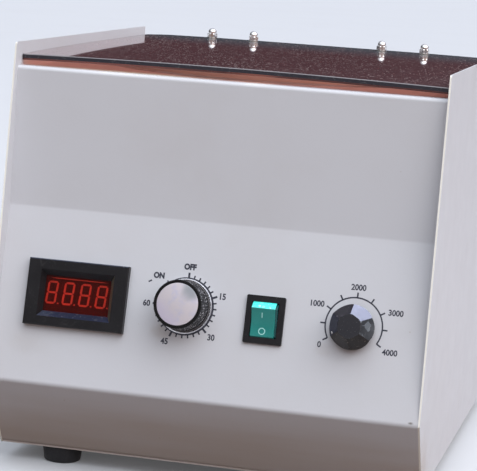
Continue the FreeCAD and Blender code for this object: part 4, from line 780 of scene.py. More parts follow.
class Draft:
    """A mesh being made in its own place."""

    def __init__(self) -> None:
        """Start empty."""
        self.bm = bmesh.new()

    def skin(self, rings: Sequence[Ring], closed: bool = False) -> "Draft":
        """Join rings of as many points each by quads.

        Args:
            rings: the rings in order.
            closed: whether the last ring joins the first; otherwise both ends are capped.

        Returns:
            The draft.
        """
        rows = [[self.bm.verts.new(p) for p in ring] for ring in rings]
        for low, high in zip(rows, rows[1:] + rows[:1] if closed else rows[1:]):
            for k in range(len(low)):
                after = (k + 1) % len(low)
                self.bm.faces.new((low[k], low[after], high[after], high[k]))
        if not closed:
            self.bm.faces.new(list(reversed(rows[0])))
            self.bm.faces.new(rows[-1])
        return self

    def lathe(self, outline: Iterable[Point2], segments: int, closed: bool = False) -> "Draft":
        """Turn an outline of (radius, height) about Z."""
        return self.skin([circle(max(r, 0.0), z, segments) for r, z in outline], closed)

    def extrude(self, outline: Sequence[Point2], low: float, high: float) -> "Draft":
        """Prism of an outline in the XY plane, from low to high."""
        return self.skin([[Vector((x, y, z)) for x, y in outline] for z in (low, high)])

    def turned(self, matrix: Matrix) -> "Draft":
        """Move everything drawn so far."""
        bmesh.ops.transform(self.bm, matrix=matrix, verts=self.bm.verts)
        return self

    def mesh(self, name: str, place: Matrix | None = None, sharp: float = 32.0) -> Mesh:
        """Close the draft into a mesh in metres.

        Args:
            name: name of the mesh.
            place: where it goes in the row frame; left out, it stays at its own origin.
            sharp: angle in degrees past which an edge stays sharp.

        Returns:
            The mesh.
        """
        bmesh.ops.remove_doubles(self.bm, verts=self.bm.verts, dist=1e-4)
        bmesh.ops.dissolve_degenerate(self.bm, edges=self.bm.edges, dist=1e-5)
        bmesh.ops.recalc_face_normals(self.bm, faces=self.bm.faces)
        self.bm.transform((place or Matrix.Identity(4)) @ Matrix.Scale(MM, 4))
        mesh = bpy.data.meshes.new(name)
        self.bm.to_mesh(mesh)
        self.bm.free()
        mesh.polygons.foreach_set("use_smooth", [True] * len(mesh.polygons))
        mesh.set_sharp_from_angle(angle=math.radians(sharp))
        return mesh


def placed(name: str, mesh: Mesh, material: Material | None = None) -> Piece:
    """Object at the origin for a mesh whose place is in its vertices."""
    piece = bpy.data.objects.new(name, mesh)
    bpy.context.scene.collection.objects.link(piece)
    if material is not None:
        mesh.materials.clear()
        mesh.materials.append(material)
    return piece


def plain_mesh(piece: Piece) -> Mesh:
    """Evaluated mesh of an object, which is removed."""
    graph = bpy.context.evaluated_depsgraph_get()
    mesh = bpy.data.meshes.new_from_object(piece.evaluated_get(graph), depsgraph=graph)
    bpy.data.objects.remove(piece)
    return mesh


def baked(piece: Piece, name: str) -> Piece:
    """Plain mesh object in place of one with modifiers."""
    mesh = plain_mesh(piece)
    mesh.name = name
    return placed(name, mesh)


def bevelled(piece: Piece, width: float, segments: int, angle: float) -> Piece:
    """Round the sharp edges of a piece.

    Args:
        piece: the piece.
        width: width of the bevel.
        segments: steps of the bevel.
        angle: angle in degrees past which an edge is bevelled.

    Returns:
        The rounded piece.
    """
    name = piece.name
    piece.name = name + "_blank"
    bevel = piece.modifiers.new("soft_edges", "BEVEL")
    bevel.width = width * MM
    bevel.segments = segments
    bevel.limit_method = "ANGLE"
    bevel.angle_limit = math.radians(angle)
    bevel.harden_normals = True
    return baked(piece, name)


def finish(piece: Piece, body: str, slot: str | None, *nodes: str) -> None:
    """Set a finished piece on its body.

    Args:
        piece: the piece, at the origin.
        body: the CAD body that carries it.
        slot: the record's slot whose finish it takes, if it has one; not used.
        nodes: the CAD nodes that it stands for.
    """
    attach(piece, body)
    if nodes:
        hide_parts(*nodes)
    log.info("%s rides on %s", piece.name, body)


class GeometryTree(NodeSheet):
    """Geometry Nodes tree that is run on a carrier and leaves a plain mesh."""

    def __init__(self, name: str, inputs: dict[str, str]) -> None:
        """Open the tree.

        Args:
            name: name of the tree.
            inputs: name and socket type of each input between the geometry and the finish.
        """
        super().__init__(bpy.data.node_groups.new(name, "GeometryNodeTree"))
        add = self.tree.interface.new_socket
        kinds = {"Geometry": "Geometry", **inputs, "Finish": "Material"}
        self.keys = {key: add(name=key, in_out="INPUT", socket_type="NodeSocket" + kind).identifier
                     for key, kind in kinds.items()}
        add(name="Geometry", in_out="OUTPUT", socket_type="NodeSocketGeometry")
        self.given = self.add("NodeGroupInput").outputs

    def close(self, geometry: Socket) -> None:
        """Put out the geometry as real faces with the finish on them."""
        real = self.out("GeometryNodeRealizeInstances", {0: geometry})
        dressed = self.out("GeometryNodeSetMaterial", {"Geometry": real,
                                                       "Material": self.given["Finish"]})
        self.add("NodeGroupOutput", {0: dressed})

    def run(self, name: str, mesh: Mesh, values: dict) -> Piece:
        """Run the tree on a mesh.

        Args:
            name: name of the finished piece.
            mesh: the mesh that goes in.
            values: value of each input by its name.

        Returns:
            The finished piece, with no modifier.
        """
        carrier = placed(name + "_carrier", mesh)
        modifier = carrier.modifiers.new(self.tree.name, "NODES")
        modifier.node_group = self.tree
        for key, value in values.items():
            modifier[self.keys[key]] = value
        return baked(carrier, name)


class PlaceTree(GeometryTree):
    """Sets one shape at every point of a mesh."""

    def __init__(self) -> None:
        """Build the tree."""
        super().__init__("set_at_places", {"Piece": "Object", "Play": "Float", "Seed": "Int"})
        shape = self.add("GeometryNodeObjectInfo", {"Object": self.given["Piece"]})
        facing, grow = (self.out("GeometryNodeInputNamedAttribute", {"Name": name},
                                 data_type="FLOAT_VECTOR") for name in ("facing", "grow"))
        turn = self.out("FunctionNodeEulerToRotation", {0: facing})
        play = self.add("FunctionNodeRandomValue", {
            "Seed": self.given["Seed"], 2: self.times(self.given["Play"], -1.0),
            3: self.given["Play"]}, data_type="FLOAT")
        spin = self.vector(0.0, 0.0, play.outputs[1])
        slack = self.out("FunctionNodeEulerToRotation", {0: spin})
        both = self.out("FunctionNodeRotateRotation", {0: turn, 1: slack}, rotation_space="LOCAL")
        self.close(self.out("GeometryNodeInstanceOnPoints", {
            "Points": self.given["Geometry"], "Instance": shape.outputs["Geometry"],
            "Rotation": both, "Scale": grow}))

    def set_out(self, name: str, shape: Mesh, places: Sequence[Matrix], material: Material,
                play: float = 0.0, seed: int = 4) -> Piece:
        """Set a shape at several places and return them as one plain mesh.

        Args:
            name: name of the finished piece.
            shape: mesh of one of them, at its own origin, in metres.
            places: where each goes; a scale in the matrix stretches it.
            material: finish of them all.
            play: random turn about each one's own axis, in radians.
            seed: seed of the random turns.

        Returns:
            The finished piece, with no modifier.
        """
        points = bpy.data.meshes.new(name + "_places")
        points.from_pydata([m.to_translation() for m in places], [], [])
        for key, values in (("facing", [m.to_euler() for m in places]),
                            ("grow", [m.to_scale() for m in places])):
            attribute = points.attributes.new(key, "FLOAT_VECTOR", "POINT")
            for spot, value in zip(attribute.data, values):
                spot.vector = value
        one = placed(name + "_one", shape)
        values = {"Piece": one, "Play": play, "Seed": seed, "Finish": material}
        whole = self.run(name, points, values)
        bpy.data.objects.remove(one)
        return whole


class KnurlTree(GeometryTree):
    """Makes a tapered grip with diamond knurling."""

    SIZES = ("Bottom Radius", "Top Radius", "Bottom", "Top", "Around", "Rows", "Depth")
    COLUMNS = 505
    LEVELS = 61
    RUN_OUT = 0.03

    def __init__(self) -> None:
        """Build the tree."""
        super().__init__("diamond_knurl", dict.fromkeys(self.SIZES, "Float"))
        given, times, calc = self.given, self.times, self.math
        grid = self.out("GeometryNodeMeshGrid", {"Size X": 1.0, "Size Y": 1.0,
                                                 "Vertices X": self.COLUMNS,
                                                 "Vertices Y": self.LEVELS})
        where = self.parts(self.out("GeometryNodeInputPosition"))
        across, up = calc("ADD", where[0], 0.5), calc("ADD", where[1], 0.5)
        turns, rows = times(across, given["Around"]), times(up, given["Rows"])
        right = calc("PINGPONG", calc("ADD", turns, rows), 0.5)
        left = calc("PINGPONG", calc("SUBTRACT", turns, rows), 0.5)
        lump = times(calc("MINIMUM", right, left), 2.0)
        edge = calc("MINIMUM", self.ramp(up, 0.0, self.RUN_OUT),
                         self.ramp(calc("SUBTRACT", 1.0, up), 0.0, self.RUN_OUT))
        relief = times(calc("SUBTRACT", times(lump, edge), 1.0), given["Depth"])
        slope = calc("SUBTRACT", given["Top Radius"], given["Bottom Radius"])
        cone = calc("MULTIPLY_ADD", up, slope, given["Bottom Radius"])
        radius = calc("ADD", cone, relief)
        angle = times(across, 2 * math.pi)
        tall = calc("SUBTRACT", given["Top"], given["Bottom"])
        spot = self.vector(times(radius, calc("COSINE", angle)),
                           times(radius, calc("SINE", angle)),
                           calc("MULTIPLY_ADD", up, tall, given["Bottom"]))
        bent = self.out("GeometryNodeSetPosition", {"Geometry": grid, "Position": spot})
        self.close(self.out("GeometryNodeMergeByDistance", {"Geometry": bent, "Distance": 1e-6}))

    def grip(self, name: str, sizes: dict[str, float], place: Matrix, material: Material) -> Piece:
        """Make a grip.

        Args:
            name: name of the piece.
            sizes: value of each size of the tree, with lengths in metres.
            place: where it goes in the row frame.
            material: its finish.

        Returns:
            The finished piece, with no modifier.
        """
        seed = bpy.data.meshes.new(name + "_seed")
        piece = self.run(name, seed, {**sizes, "Finish": material})
        piece.data.transform(place)
        return piece


def lettering(text: str, height: float, place: Matrix, squeeze: float, weight: float) -> Mesh:
    """Flat mesh of a short generic marking.

    Args:
        text: the figures or letters.
        height: height of a capital.
        place: where the middle of the text goes.
        squeeze: width against the font's own.
        weight: how much the strokes are thickened, against the font's size.

    Returns:
        The mesh in the row frame.
    """
    curve = bpy.data.curves.new("marking_" + text, "FONT")
    curve.body = text
    curve.size = 1.0
    curve.resolution_u = 3
    curve.offset = weight
    carrier = bpy.data.objects.new("marking_carrier", curve)
    bpy.context.scene.collection.objects.link(carrier)
    mesh = plain_mesh(carrier)
    xs = [v.co.x for v in mesh.vertices]
    ys = [v.co.y for v in mesh.vertices]
    scale = height * MM / (max(ys) - min(ys))
    middle = Vector(((max(xs) + min(xs)) / 2, (max(ys) + min(ys)) / 2, 0))
    shrink = Matrix.Diagonal((scale * squeeze, scale, scale, 1.0))
    mesh.transform(place @ shrink @ Matrix.Translation(-middle))
    return mesh


def joined(name: str, meshes: Sequence[Mesh], material: Material) -> Piece:
    """One object of several meshes that are already in place."""
    bm = bmesh.new()
    for mesh in meshes:
        bm.from_mesh(mesh)
    whole = bpy.data.meshes.new(name)
    bm.to_mesh(whole)
    bm.free()
    return placed(name, whole, material)


@dataclass
class SubAssembly:
    """CAD nodes that keep their shape, and pieces that are made here."""

    finishes: Finishes
    places: PlaceTree
    wears: ClassVar[dict[str, Sequence[str]]] = {}

    def build(self) -> None:
        """Give each slot's material to its nodes, then make the pieces."""
        for slot, nodes in self.wears.items():
            for node in nodes:
                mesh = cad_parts[node].data
                mesh.materials.clear()
                mesh.materials.append(self.finishes[slot])
                log.info("%s wears %s", node, slot)
        self.make()

    def make(self) -> None:
        """Make the pieces, where there are any."""

    def show(self, mesh: Mesh, wears: str, body: str, slot: str | None, *nodes: str) -> None:
        """Make a finished piece of a mesh, under the mesh's name.

        Args:
            mesh: the mesh.
            wears: name of its finish.
            body: the CAD body that carries it.
            slot: the record's slot whose finish it takes, if it has one.
            nodes: the CAD nodes that it stands for.
        """
        finish(placed(mesh.name, mesh, self.finishes[wears]), body, slot, *nodes)

    def share_out(self, mesh: Mesh, names: Iterable[str], choose: Callable[[Face], int]) -> None:
        """Give some faces of a mesh further finishes.

        Args:
            mesh: the mesh, with its own finish as number 0.
            names: the further finishes, from number 1.
            choose: number of the finish that a face takes.
        """
        for name in names:
            mesh.materials.append(self.finishes[name])
        for face in mesh.polygons:
            number = choose(face)
            if number:
                face.material_index = number


@dataclass
class Case(SubAssembly):
    """Folded steel case on four rubber feet."""

    foot_x: float = 105.5
    foot_y: Point2 = (51.0, 330.0)
    foot_height: float = 12.0
    top_radius: float = 14.0
    bottom_radius: float = 12.2
    well_radius: float = 5.0
    hole_radius: float = 2.2
    sole: float = 5.5
    cut_from: float = 0.5
    roundings: tuple[float, ...] = (0.6, 0.8, 1.2, 0.3)
    wears = {
        "white_paint": ("side_panel_left", "side_panel_right", "front_panel", "top_deck",
                        "rear_panel", "base_plate"),
        "zinc": ("m4_screws", "m3_screws"),
    }

    def make(self) -> None:
        """Give the panels' cut front edges a paler paint as a painted highlight, and make the
        feet.
        """
        for node in ("side_panel_left", "side_panel_right"):
            self.share_out(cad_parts[node].data, ("cut_edge_paint",),
                           lambda face: int(face.normal.y < -self.cut_from))
        outline = softened([
            (self.hole_radius, self.sole), (self.well_radius, self.sole), (self.well_radius, 0.0),
            (self.bottom_radius, 0.0), (self.top_radius, self.foot_height),
            (self.hole_radius, self.foot_height)], self.roundings)
        shape = Draft().lathe(outline, 72, closed=True).mesh("foot")
        spots = [Matrix.Translation(Vector((side * self.foot_x, y + SHIFT_Y, 0)) * MM)
                 for side in (-1, 1) for y in self.foot_y]
        feet = self.places.set_out("moulded_feet", shape, spots, self.finishes["foot_rubber"],
                                   play=0.4, seed=7)
        finish(feet, "case", "foot_rubber", "rubber_feet")


@dataclass
class Lid(SubAssembly):
    """Tinted acrylic lid with its hinges, washers and acorn nuts."""

    half_width: float = 142.6
    front: float = 36.3
    back: float = 373.0
    under: float = 271.8
    thickness: float = 4.0
    corner: float = 2.0
    edge: float = 0.5
    # Height up to which the cut edge takes a warm painted glow, which stands in for light passing
    # through the tinted sheet.
    painted_glow_height: float = 1.2
    # The sheet is held flat from here back. In front of it, it arches at the crest and droops to
    # both sides. Its back corners sag, and its left edge swells.
    held: float = 330.0
    arch: float = 0.35
    droop: float = 1.65
    crest: float = -12.0
    sag: float = 0.8
    swell: float = 0.7
    # Upward part of a face's normal, by which the edges' finishes are told apart.
    sawn_below: float = 0.3
    flat_above: float = 0.97
    nut_x: tuple[float, ...] = (-94.0, -60.0, 44.0, 78.0)
    nut_y: float = 357.0
    washer: float = 0.8
    across_flats: float = 7.0
    hex_height: float = 3.2
    dome_radius: float = 3.2
    nut_height: float = 7.3
    # Inward and along the nut, at its foot and at the top of its hexagon.
    nut_chamfer: Point2 = (0.45, 0.3)
    nut_shoulder: Point2 = (0.5, 0.45)
    wears = {
        "zinc": ("lid_washers", "lid_screws"),
        "hinge_steel": ("lid_hinge_leaves", "case_hinge_leaves"),
        "shaft_steel": ("hinge_pins",),
    }

    def make(self) -> None:
        """Make the plate and the nuts."""
        plate = placed("lid_plate", self.plate(), self.finishes["lid_tint"])
        # The cut edge: sawn, a worn top chamfer with a grey painted highlight, and a painted glow
        # along its foot.
        names = ("sawn_acrylic_edge", "worn_acrylic_edge", "warm_acrylic_edge")
        self.share_out(plate.data, names, self.edge_finish)
        finish(plate, "lid", "lid_tint", "lid_panel")
        height = self.under + self.thickness + self.washer
        spots = [Matrix.Translation(Vector((x, self.nut_y + SHIFT_Y, height)) * MM)
                 for x in self.nut_x]
        nuts = self.places.set_out("acorn_nuts", self.nut(), spots, self.finishes["chrome"],
                                   play=0.5, seed=11)
        finish(nuts, "lid", "chrome", "lid_nuts")

    def edge_finish(self, face: Face) -> int:
        """Number of a face's finish: 1 sawn, 2 worn top chamfer with a grey painted highlight, 3
        painted glow low on the cut edge, 0 for the flat sheet.
        """
        if self.sawn_below < face.normal.z < self.flat_above:
            return 2
        if -self.flat_above < face.normal.z <= self.sawn_below:
            at = face.center / MM
            rise = at.z - self.under - self.bow(at.x, at.y - SHIFT_Y)
            return 3 if rise < self.painted_glow_height else 1
        return 0

    def bow(self, x: float, y: float) -> float:
        """How far the warped sheet is off its plane; it is held flat between the hinges."""
        free = max(0.0, (self.held - y) / (self.held - self.front)) ** 3
        aside = (x / self.half_width) ** 4
        if x < 0.0:
            bent = min(1.0, max(0.0, (y - self.held) / (self.back - self.held)))
            curl = aside * (self.sag * bent - self.swell * (1.0 - free) * (1.0 - bent))
        else:
            curl = (1.0 - free) * self.sag * aside
        arch = self.arch - self.droop * ((x - self.crest) / self.half_width) ** 2
        return free * arch - curl

    def section(self, x: float, inset: float) -> Ring:
        """Section of the plate at a place along X, shortened at both ends by inset."""
        front, back, edge = self.front + inset, self.back - inset, self.edge
        low, high = self.under, self.under + self.thickness
        count = 30
        steps = [front + edge + (back - front - 2 * edge) * k / count for k in range(count + 1)]
        outline = [(front, low + edge), *((y, low) for y in steps), (back, low + edge),
                   (back, high - edge), *((y, high) for y in reversed(steps)),
                   (front, high - edge), (front, low + self.painted_glow_height)]
        return [Vector((x, y + SHIFT_Y, z + self.bow(x, y))) for y, z in outline]

    def plate(self) -> Mesh:
        """The plate, arched a little along its front, with its edges broken."""
        corner = [(self.half_width - self.corner * (1 - math.sin(math.pi * k / 12)),
                   self.corner * (1 - math.cos(math.pi * k / 12))) for k in range(6, 0, -1)]
        reach = self.half_width - self.corner
        middle = [(reach * (1 - k / 18), 0.0) for k in range(37)]
        stations = corner + middle + [(-x, inset) for x, inset in reversed(corner)]
        rings = [self.section(x, inset) for x, inset in reversed(stations)]
        return Draft().skin(rings).mesh("lid_plate")

    def nut(self) -> Mesh:
        """One acorn nut standing on Z = 0."""
        count = 72
        apothem = self.across_flats / 2
        corner = apothem / math.cos(math.pi / 6)
        (low_in, low_up), (high_in, high_down) = self.nut_chamfer, self.nut_shoulder
        rings = []
        for z, limit in ((0.0, corner - low_in), (low_up, corner),
                         (self.hex_height - high_down, corner),
                         (self.hex_height, corner - high_in)):
            ring = []
            for k in range(count):
                angle = 2 * math.pi * k / count
                inner = (angle % (math.pi / 3)) - math.pi / 6
                ring.append(polar(min(apothem / math.cos(inner), limit), angle, z))
            rings.append(ring)
        base = self.nut_height - self.dome_radius
        rings.append(circle(self.dome_radius, self.hex_height, count))
        for k in range(13):
            up = polar(self.dome_radius, math.pi / 2 * k / 12)
            rings.append(circle(up.x, base + up.y, count))
        return Draft().skin(rings).mesh("acorn_nut", sharp=28.0)


@dataclass
class Chamber(SubAssembly):
    """Spun steel bowl with its gasket, boot and the angle rotor."""

    wears = {
        "chamber_steel": ("chamber_bowl",),
        "seal_rubber": ("chamber_gasket",),
        "gasket_rubber": ("shaft_boot",),
        "rotor_alloy": ("rotor_head",),
        "sleeve_alloy": ("tube_sleeves",),
        "black_plastic": ("rotor_nut",),
    }


@dataclass
class Drive(SubAssembly):
    """Motor, its mount and the control board inside the case."""

    wears = {
        "zinc": ("motor_mount_plate", "damper_bolts", "motor_bolts"),
        "gasket_rubber": ("motor_dampers",),
        "motor_paint": ("motor_can",),
        "motor_cast": ("motor_bottom_bell", "motor_top_bell", "heat_sink"),
        "shaft_steel": ("motor_bearings", "motor_shaft"),
        "lamination": ("motor_stator", "motor_armature"),
        "black_matte": ("brush_holders", "speed_magnet", "speed_sensor"),
        "carbon": ("carbon_brushes",),
        "copper": ("motor_commutator",),
        "fan_plastic": ("motor_fan",),
        "board_green": ("control_board",),
        "board_parts": ("board_parts",),
    }


@dataclass
class SpeedMeter(SubAssembly):
    """Four-figure speed meter behind a red window."""

    x: float = -89.0
    drop: float = 55.6
    shift: float = -1.0
    pitch: float = 11.3
    width: float = 7.3
    height: float = 15.2
    bar: float = 1.3
    bar_thickness: float = 0.4
    bar_lift: float = -1.75
    bar_tip: float = 0.16
    flat_gap: float = 0.3
    upright_gap: float = 0.2
    point_aside: float = 1.6
    point_width: float = 0.7
    slant: float = 4.5
    # Length, height and stoutness of the strip over the figures; it takes the figures' painted
    # glow.
    strip: tuple[float, float, float] = (39.0, 9.6, 0.45)
    # The bezel's right slope takes a lighter olive tone out to this distance from the middle.
    recess: float = 27.0
    slope_from: float = 0.2
    slope_to: float = 0.98
    figures: int = 4
    board_down: float = 0.8
    board_width: float = 48.5
    board_height: float = 27.5
    board_span: Point2 = (-4.5, -1.6)
    wears = {
        "black_matte": ("meter_bezel", "meter_case"),
        "window_red": ("meter_window",),
    }

    def make(self) -> None:
        """Pick out the bezel's slopes and make the figures."""
        self.share_out(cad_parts["meter_bezel"].data,
                       ("polished_bezel_slope", "dusty_bezel_slope"), self.slope_finish)
        half, tall = self.board_width / 2, self.board_height / 2
        board = Draft().extrude(rectangle(-half, half, -tall, tall), *self.board_span)
        place = face_place(self.x, self.drop + self.board_down)
        self.show(board.mesh("display_board", place), "black_matte", "case", "black_matte",
                  "meter_digits")
        bars = self.places.set_out("display_bars", self.one_bar(), self.bar_places(),
                                   self.finishes["digit_red"])
        finish(bars, "case", "digit_red", "meter_digits")

    def slope_finish(self, face: Face) -> int:
        """Number of a bezel face's finish: 1 glossy with a painted reflection, 2 olive right
        slope, 0 for the rest.
        """
        if self.slope_from < face.normal.dot(up_the_face()) < self.slope_to:
            return 1
        aside = face.center.x / MM - self.x
        leans = self.slope_from < -face.normal.x < self.slope_to
        return 2 if leans and 0.0 < aside < self.recess else 0

    def one_bar(self) -> Mesh:
        """A bar one unit long with pointed ends, along X."""
        half = self.bar / 2
        point = 0.5 - half * self.bar_tip
        outline = [(-0.5, 0.0), (-point, -half), (point, -half), (0.5, 0.0), (point, half),
                   (-point, half)]
        return Draft().extrude(outline, 0.0, self.bar_thickness).mesh("bar")

    def bar_places(self) -> list[Matrix]:
        """Places of all bars and points, slanted to the right."""
        lean = Matrix.Identity(4)
        lean[0][1] = math.tan(math.radians(self.slant))
        across = self.width / 2 - self.bar / 2
        upright = self.height / 2 - self.bar / 2
        spots = []
        for k in range(self.figures):
            middle = self.pitch * (k - (self.figures - 1) / 2) + self.shift
            for y in (-upright, 0.0, upright):
                spots.append((middle, y, 2 * across - self.flat_gap, 0.0, 1.0))
            for x in (-across, across):
                for y in (-upright / 2, upright / 2):
                    spots.append((middle + x, y, upright - self.upright_gap,
                                  90.0 - self.slant, 1.0))
            spots.append((middle + self.width / 2 + self.point_aside, -upright, 1.0, 0.0,
                          self.point_width))
        spots.append((self.shift, self.strip[1], self.strip[0], 0.0, self.strip[2]))
        places = []
        for x, y, length, turn, stout in spots:
            at = lean @ Vector((x, y, 0.0))
            place = face_place(self.x + at.x, self.drop - at.y, self.bar_lift,
                               math.radians(turn))
            places.append(place @ Matrix.Diagonal((length, stout, 1.0, 1.0)))
        return places


@dataclass
class PrintedDial(SubAssembly):
    """Printed ring with tick marks and figures around a knob."""

    name: str
    x: float
    drop: float
    radius: float
    stroke: float
    start: float
    end: float
    ticks: Sequence[float]
    tick_end: float
    # Text, and where it stands across and up from the knob's middle.
    marks: Sequence[tuple[str, float, float]]
    weight: float
    dashes: Sequence[Point2] = ()
    dash_turn: float = -60.0
    majors: Sequence[float] = ()
    major_width: float = 1.35
    major_length: float = 1.5
    tick_width: float = 1.0
    letter: float = 4.2
    squeeze: float = 0.9
    bold: float = 1.8
    lift: float = 0.06

    def make(self) -> None:
        """Print the ring, ticks and figures on the control face."""
        ink = self.finishes["panel_ink"]
        self.show(self.ring(), "panel_ink", "case", None)
        half = self.tick_width / 2
        outline = rectangle(-half, half, 0.0, self.tick_end - self.radius)
        tick = Draft().extrude(outline, 0.0, self.lift).mesh("tick")
        spots = []
        for degrees in self.ticks:
            at = clock(self.radius, degrees)
            spot = face_place(self.x + at.x, self.drop - at.y, 0.0, -math.radians(degrees))
            if degrees in self.majors:
                spot = spot @ Matrix.Diagonal((self.major_width, self.major_length, 1.0, 1.0))
            spots.append(spot)
        for across, up in self.dashes:
            spots.append(face_place(self.x + across, self.drop - up, 0.0,
                                    math.radians(self.dash_turn)))
        finish(self.places.set_out(self.name + "_ticks", tick, spots, ink), "case", None)
        words = []
        for text, across, up in self.marks:
            place = face_place(self.x + across, self.drop - up, self.lift)
            weight = self.weight * (self.bold if text.isalpha() else 1.0)
            words.append(lettering(text, self.letter, place, self.squeeze, weight))
        finish(joined(self.name + "_figures", words, ink), "case", None)

    def ring(self) -> Mesh:
        """The printed arc as a thin raised band."""
        steps = 96
        inner, outer = self.radius - self.stroke / 2, self.radius + self.stroke / 2
        whole = self.end - self.start >= 359.0
        rings = []
        for k in range(steps + (0 if whole else 1)):
            degrees = self.start + (self.end - self.start) * k / steps
            rings.append([clock(inner, degrees), clock(outer, degrees),
                          clock(outer, degrees, self.lift), clock(inner, degrees, self.lift)])
        draft = Draft().skin(rings, closed=whole)
        return draft.mesh(self.name + "_ring", face_place(self.x, self.drop))


@dataclass
class TimerKnob(SubAssembly):
    """Knurled timer knob with a bright ring and a spun metal cap."""

    x: float = -15.8
    drop: float = 55.8
    flange_radius: float = 17.9
    flange_top: float = 2.3
    flange_bore: float = 14.5
    grip_radius: float = 16.2
    grip_bottom: float = 2.7
    grip_down: float = 0.5
    top_radius: float = 16.1
    cap_radius: float = 13.69
    cap_sunk: float = 1.0
    height: float = 22.2
    lift: float = 0.8
    knurls: float = 62.0
    knurl_rows: float = 8.5
    knurl_depth: float = 0.7
    # Steps of the base ring's face, inward from its rim, and the limits of the painted shade in
    # its groove.
    groove: tuple[float, ...] = (0.95, 1.0, 1.3, 1.35, 1.75)
    groove_painted_shade: tuple[float, ...] = (0.97, 1.33)
    wears = {
        "movement": ("timer_body",),
        "zinc": ("bushing_nuts",),
        "shaft_steel": ("timer_spindle",),
    }

    def make(self) -> None:
        """Make the knob's body, grip, base ring and cap."""
        place = face_place(self.x, self.drop)
        core = Draft().lathe(self.core_outline(), 128, closed=True).mesh("timer_core", place)
        self.show(core, "knob_side_black", "timer_dial", "knurled_black", "timer_knob")
        sizes = {"Bottom Radius": self.grip_radius * MM, "Top Radius": self.top_radius * MM,
                 "Bottom": self.grip_bottom * MM, "Top": (self.height - self.grip_down) * MM,
                 "Around": self.knurls, "Rows": self.knurl_rows, "Depth": self.knurl_depth * MM}
        grip = KnurlTree().grip("timer_grip", sizes, place, self.finishes["knurled_black"])
        finish(grip, "timer_dial", "knurled_black", "timer_knob")
        ring = Draft().lathe(self.ring_outline(), 128, closed=True).mesh("timer_base_ring", place)
        self.show(ring, "dull_base_ring", "timer_dial", "chrome", "timer_knob")
        back = place.inverted()
        # Painted shade in the groove and a grey painted highlight on the inner step of the bright
        # ring.
        self.share_out(ring, ("knob_side_black", "worn_acrylic_edge"),
                       lambda face: self.ring_finish((back @ face.center).xy.length / MM))
        floor, top = self.height - self.cap_sunk, self.height
        outline = softened([(0.0, floor), (self.cap_radius, floor), (self.cap_radius, top),
                            (0.0, top)], (0.0, 0.35))
        centre = tuple(face_place(self.x, self.drop, top).to_translation() / MM)
        spun = SpunCap("spun_cap_metal", (0.66, 0.6, 0.62), 0.38, centre).material()
        disc = Draft().lathe(outline, 160).mesh("timer_cap", place)
        finish(placed("timer_cap", disc, spun), "timer_dial", "knob_cap", "timer_knob_cap")

    def ring_finish(self, reach: float) -> int:
        """Number of the ring's finish at a radius: 1 painted shade in the groove and inside it, 2
        grey painted highlight, 0 for the bright band.
        """
        outer, inner = self.groove_painted_shade
        wide = self.flange_radius
        if wide - inner < reach < wide - outer or reach < wide - self.groove[4]:
            return 1
        return 2 if reach < wide - self.groove[2] else 0

    def ring_outline(self) -> list[Point2]:
        """Outline of the base ring, with a groove in its face."""
        bore, wide, low, high = self.flange_bore, self.flange_radius, self.lift, self.flange_top
        g = self.groove
        return softened([(bore, low), (wide, low), (wide, high), (wide - g[0], high),
                         (wide - g[1], high - 1.0), (wide - g[2], high - 1.0),
                         (wide - g[3], high), (wide - g[4], high), (bore, high)],
                        (0.2, 0.15, 0.15, 0.05, 0.05, 0.1, 0.1))

    def core_outline(self) -> list[Point2]:
        """Outline of the knob's body inside the knurling, with its top rim."""
        top, floor, foot = self.height, self.height - self.cap_sunk, self.grip_bottom
        well, bore, wall, ceiling = 8.5, 3.2, 14.6, 5.4
        return softened([
            (well, self.lift), (wall, self.lift), (wall, foot), (wall, foot + 0.2),
            (wall - 0.2, top - 1.4), (self.top_radius - 0.35, top - 0.9),
            (self.top_radius - 0.45, top), (self.cap_radius + 0.1, top),
            (self.cap_radius + 0.1, floor), (bore, floor), (bore, ceiling), (well, ceiling)],
            (0.0, 0.0, 0.0, 0.0, 0.2, 0.4, 0.2, 0.0, 0.0, 0.0))


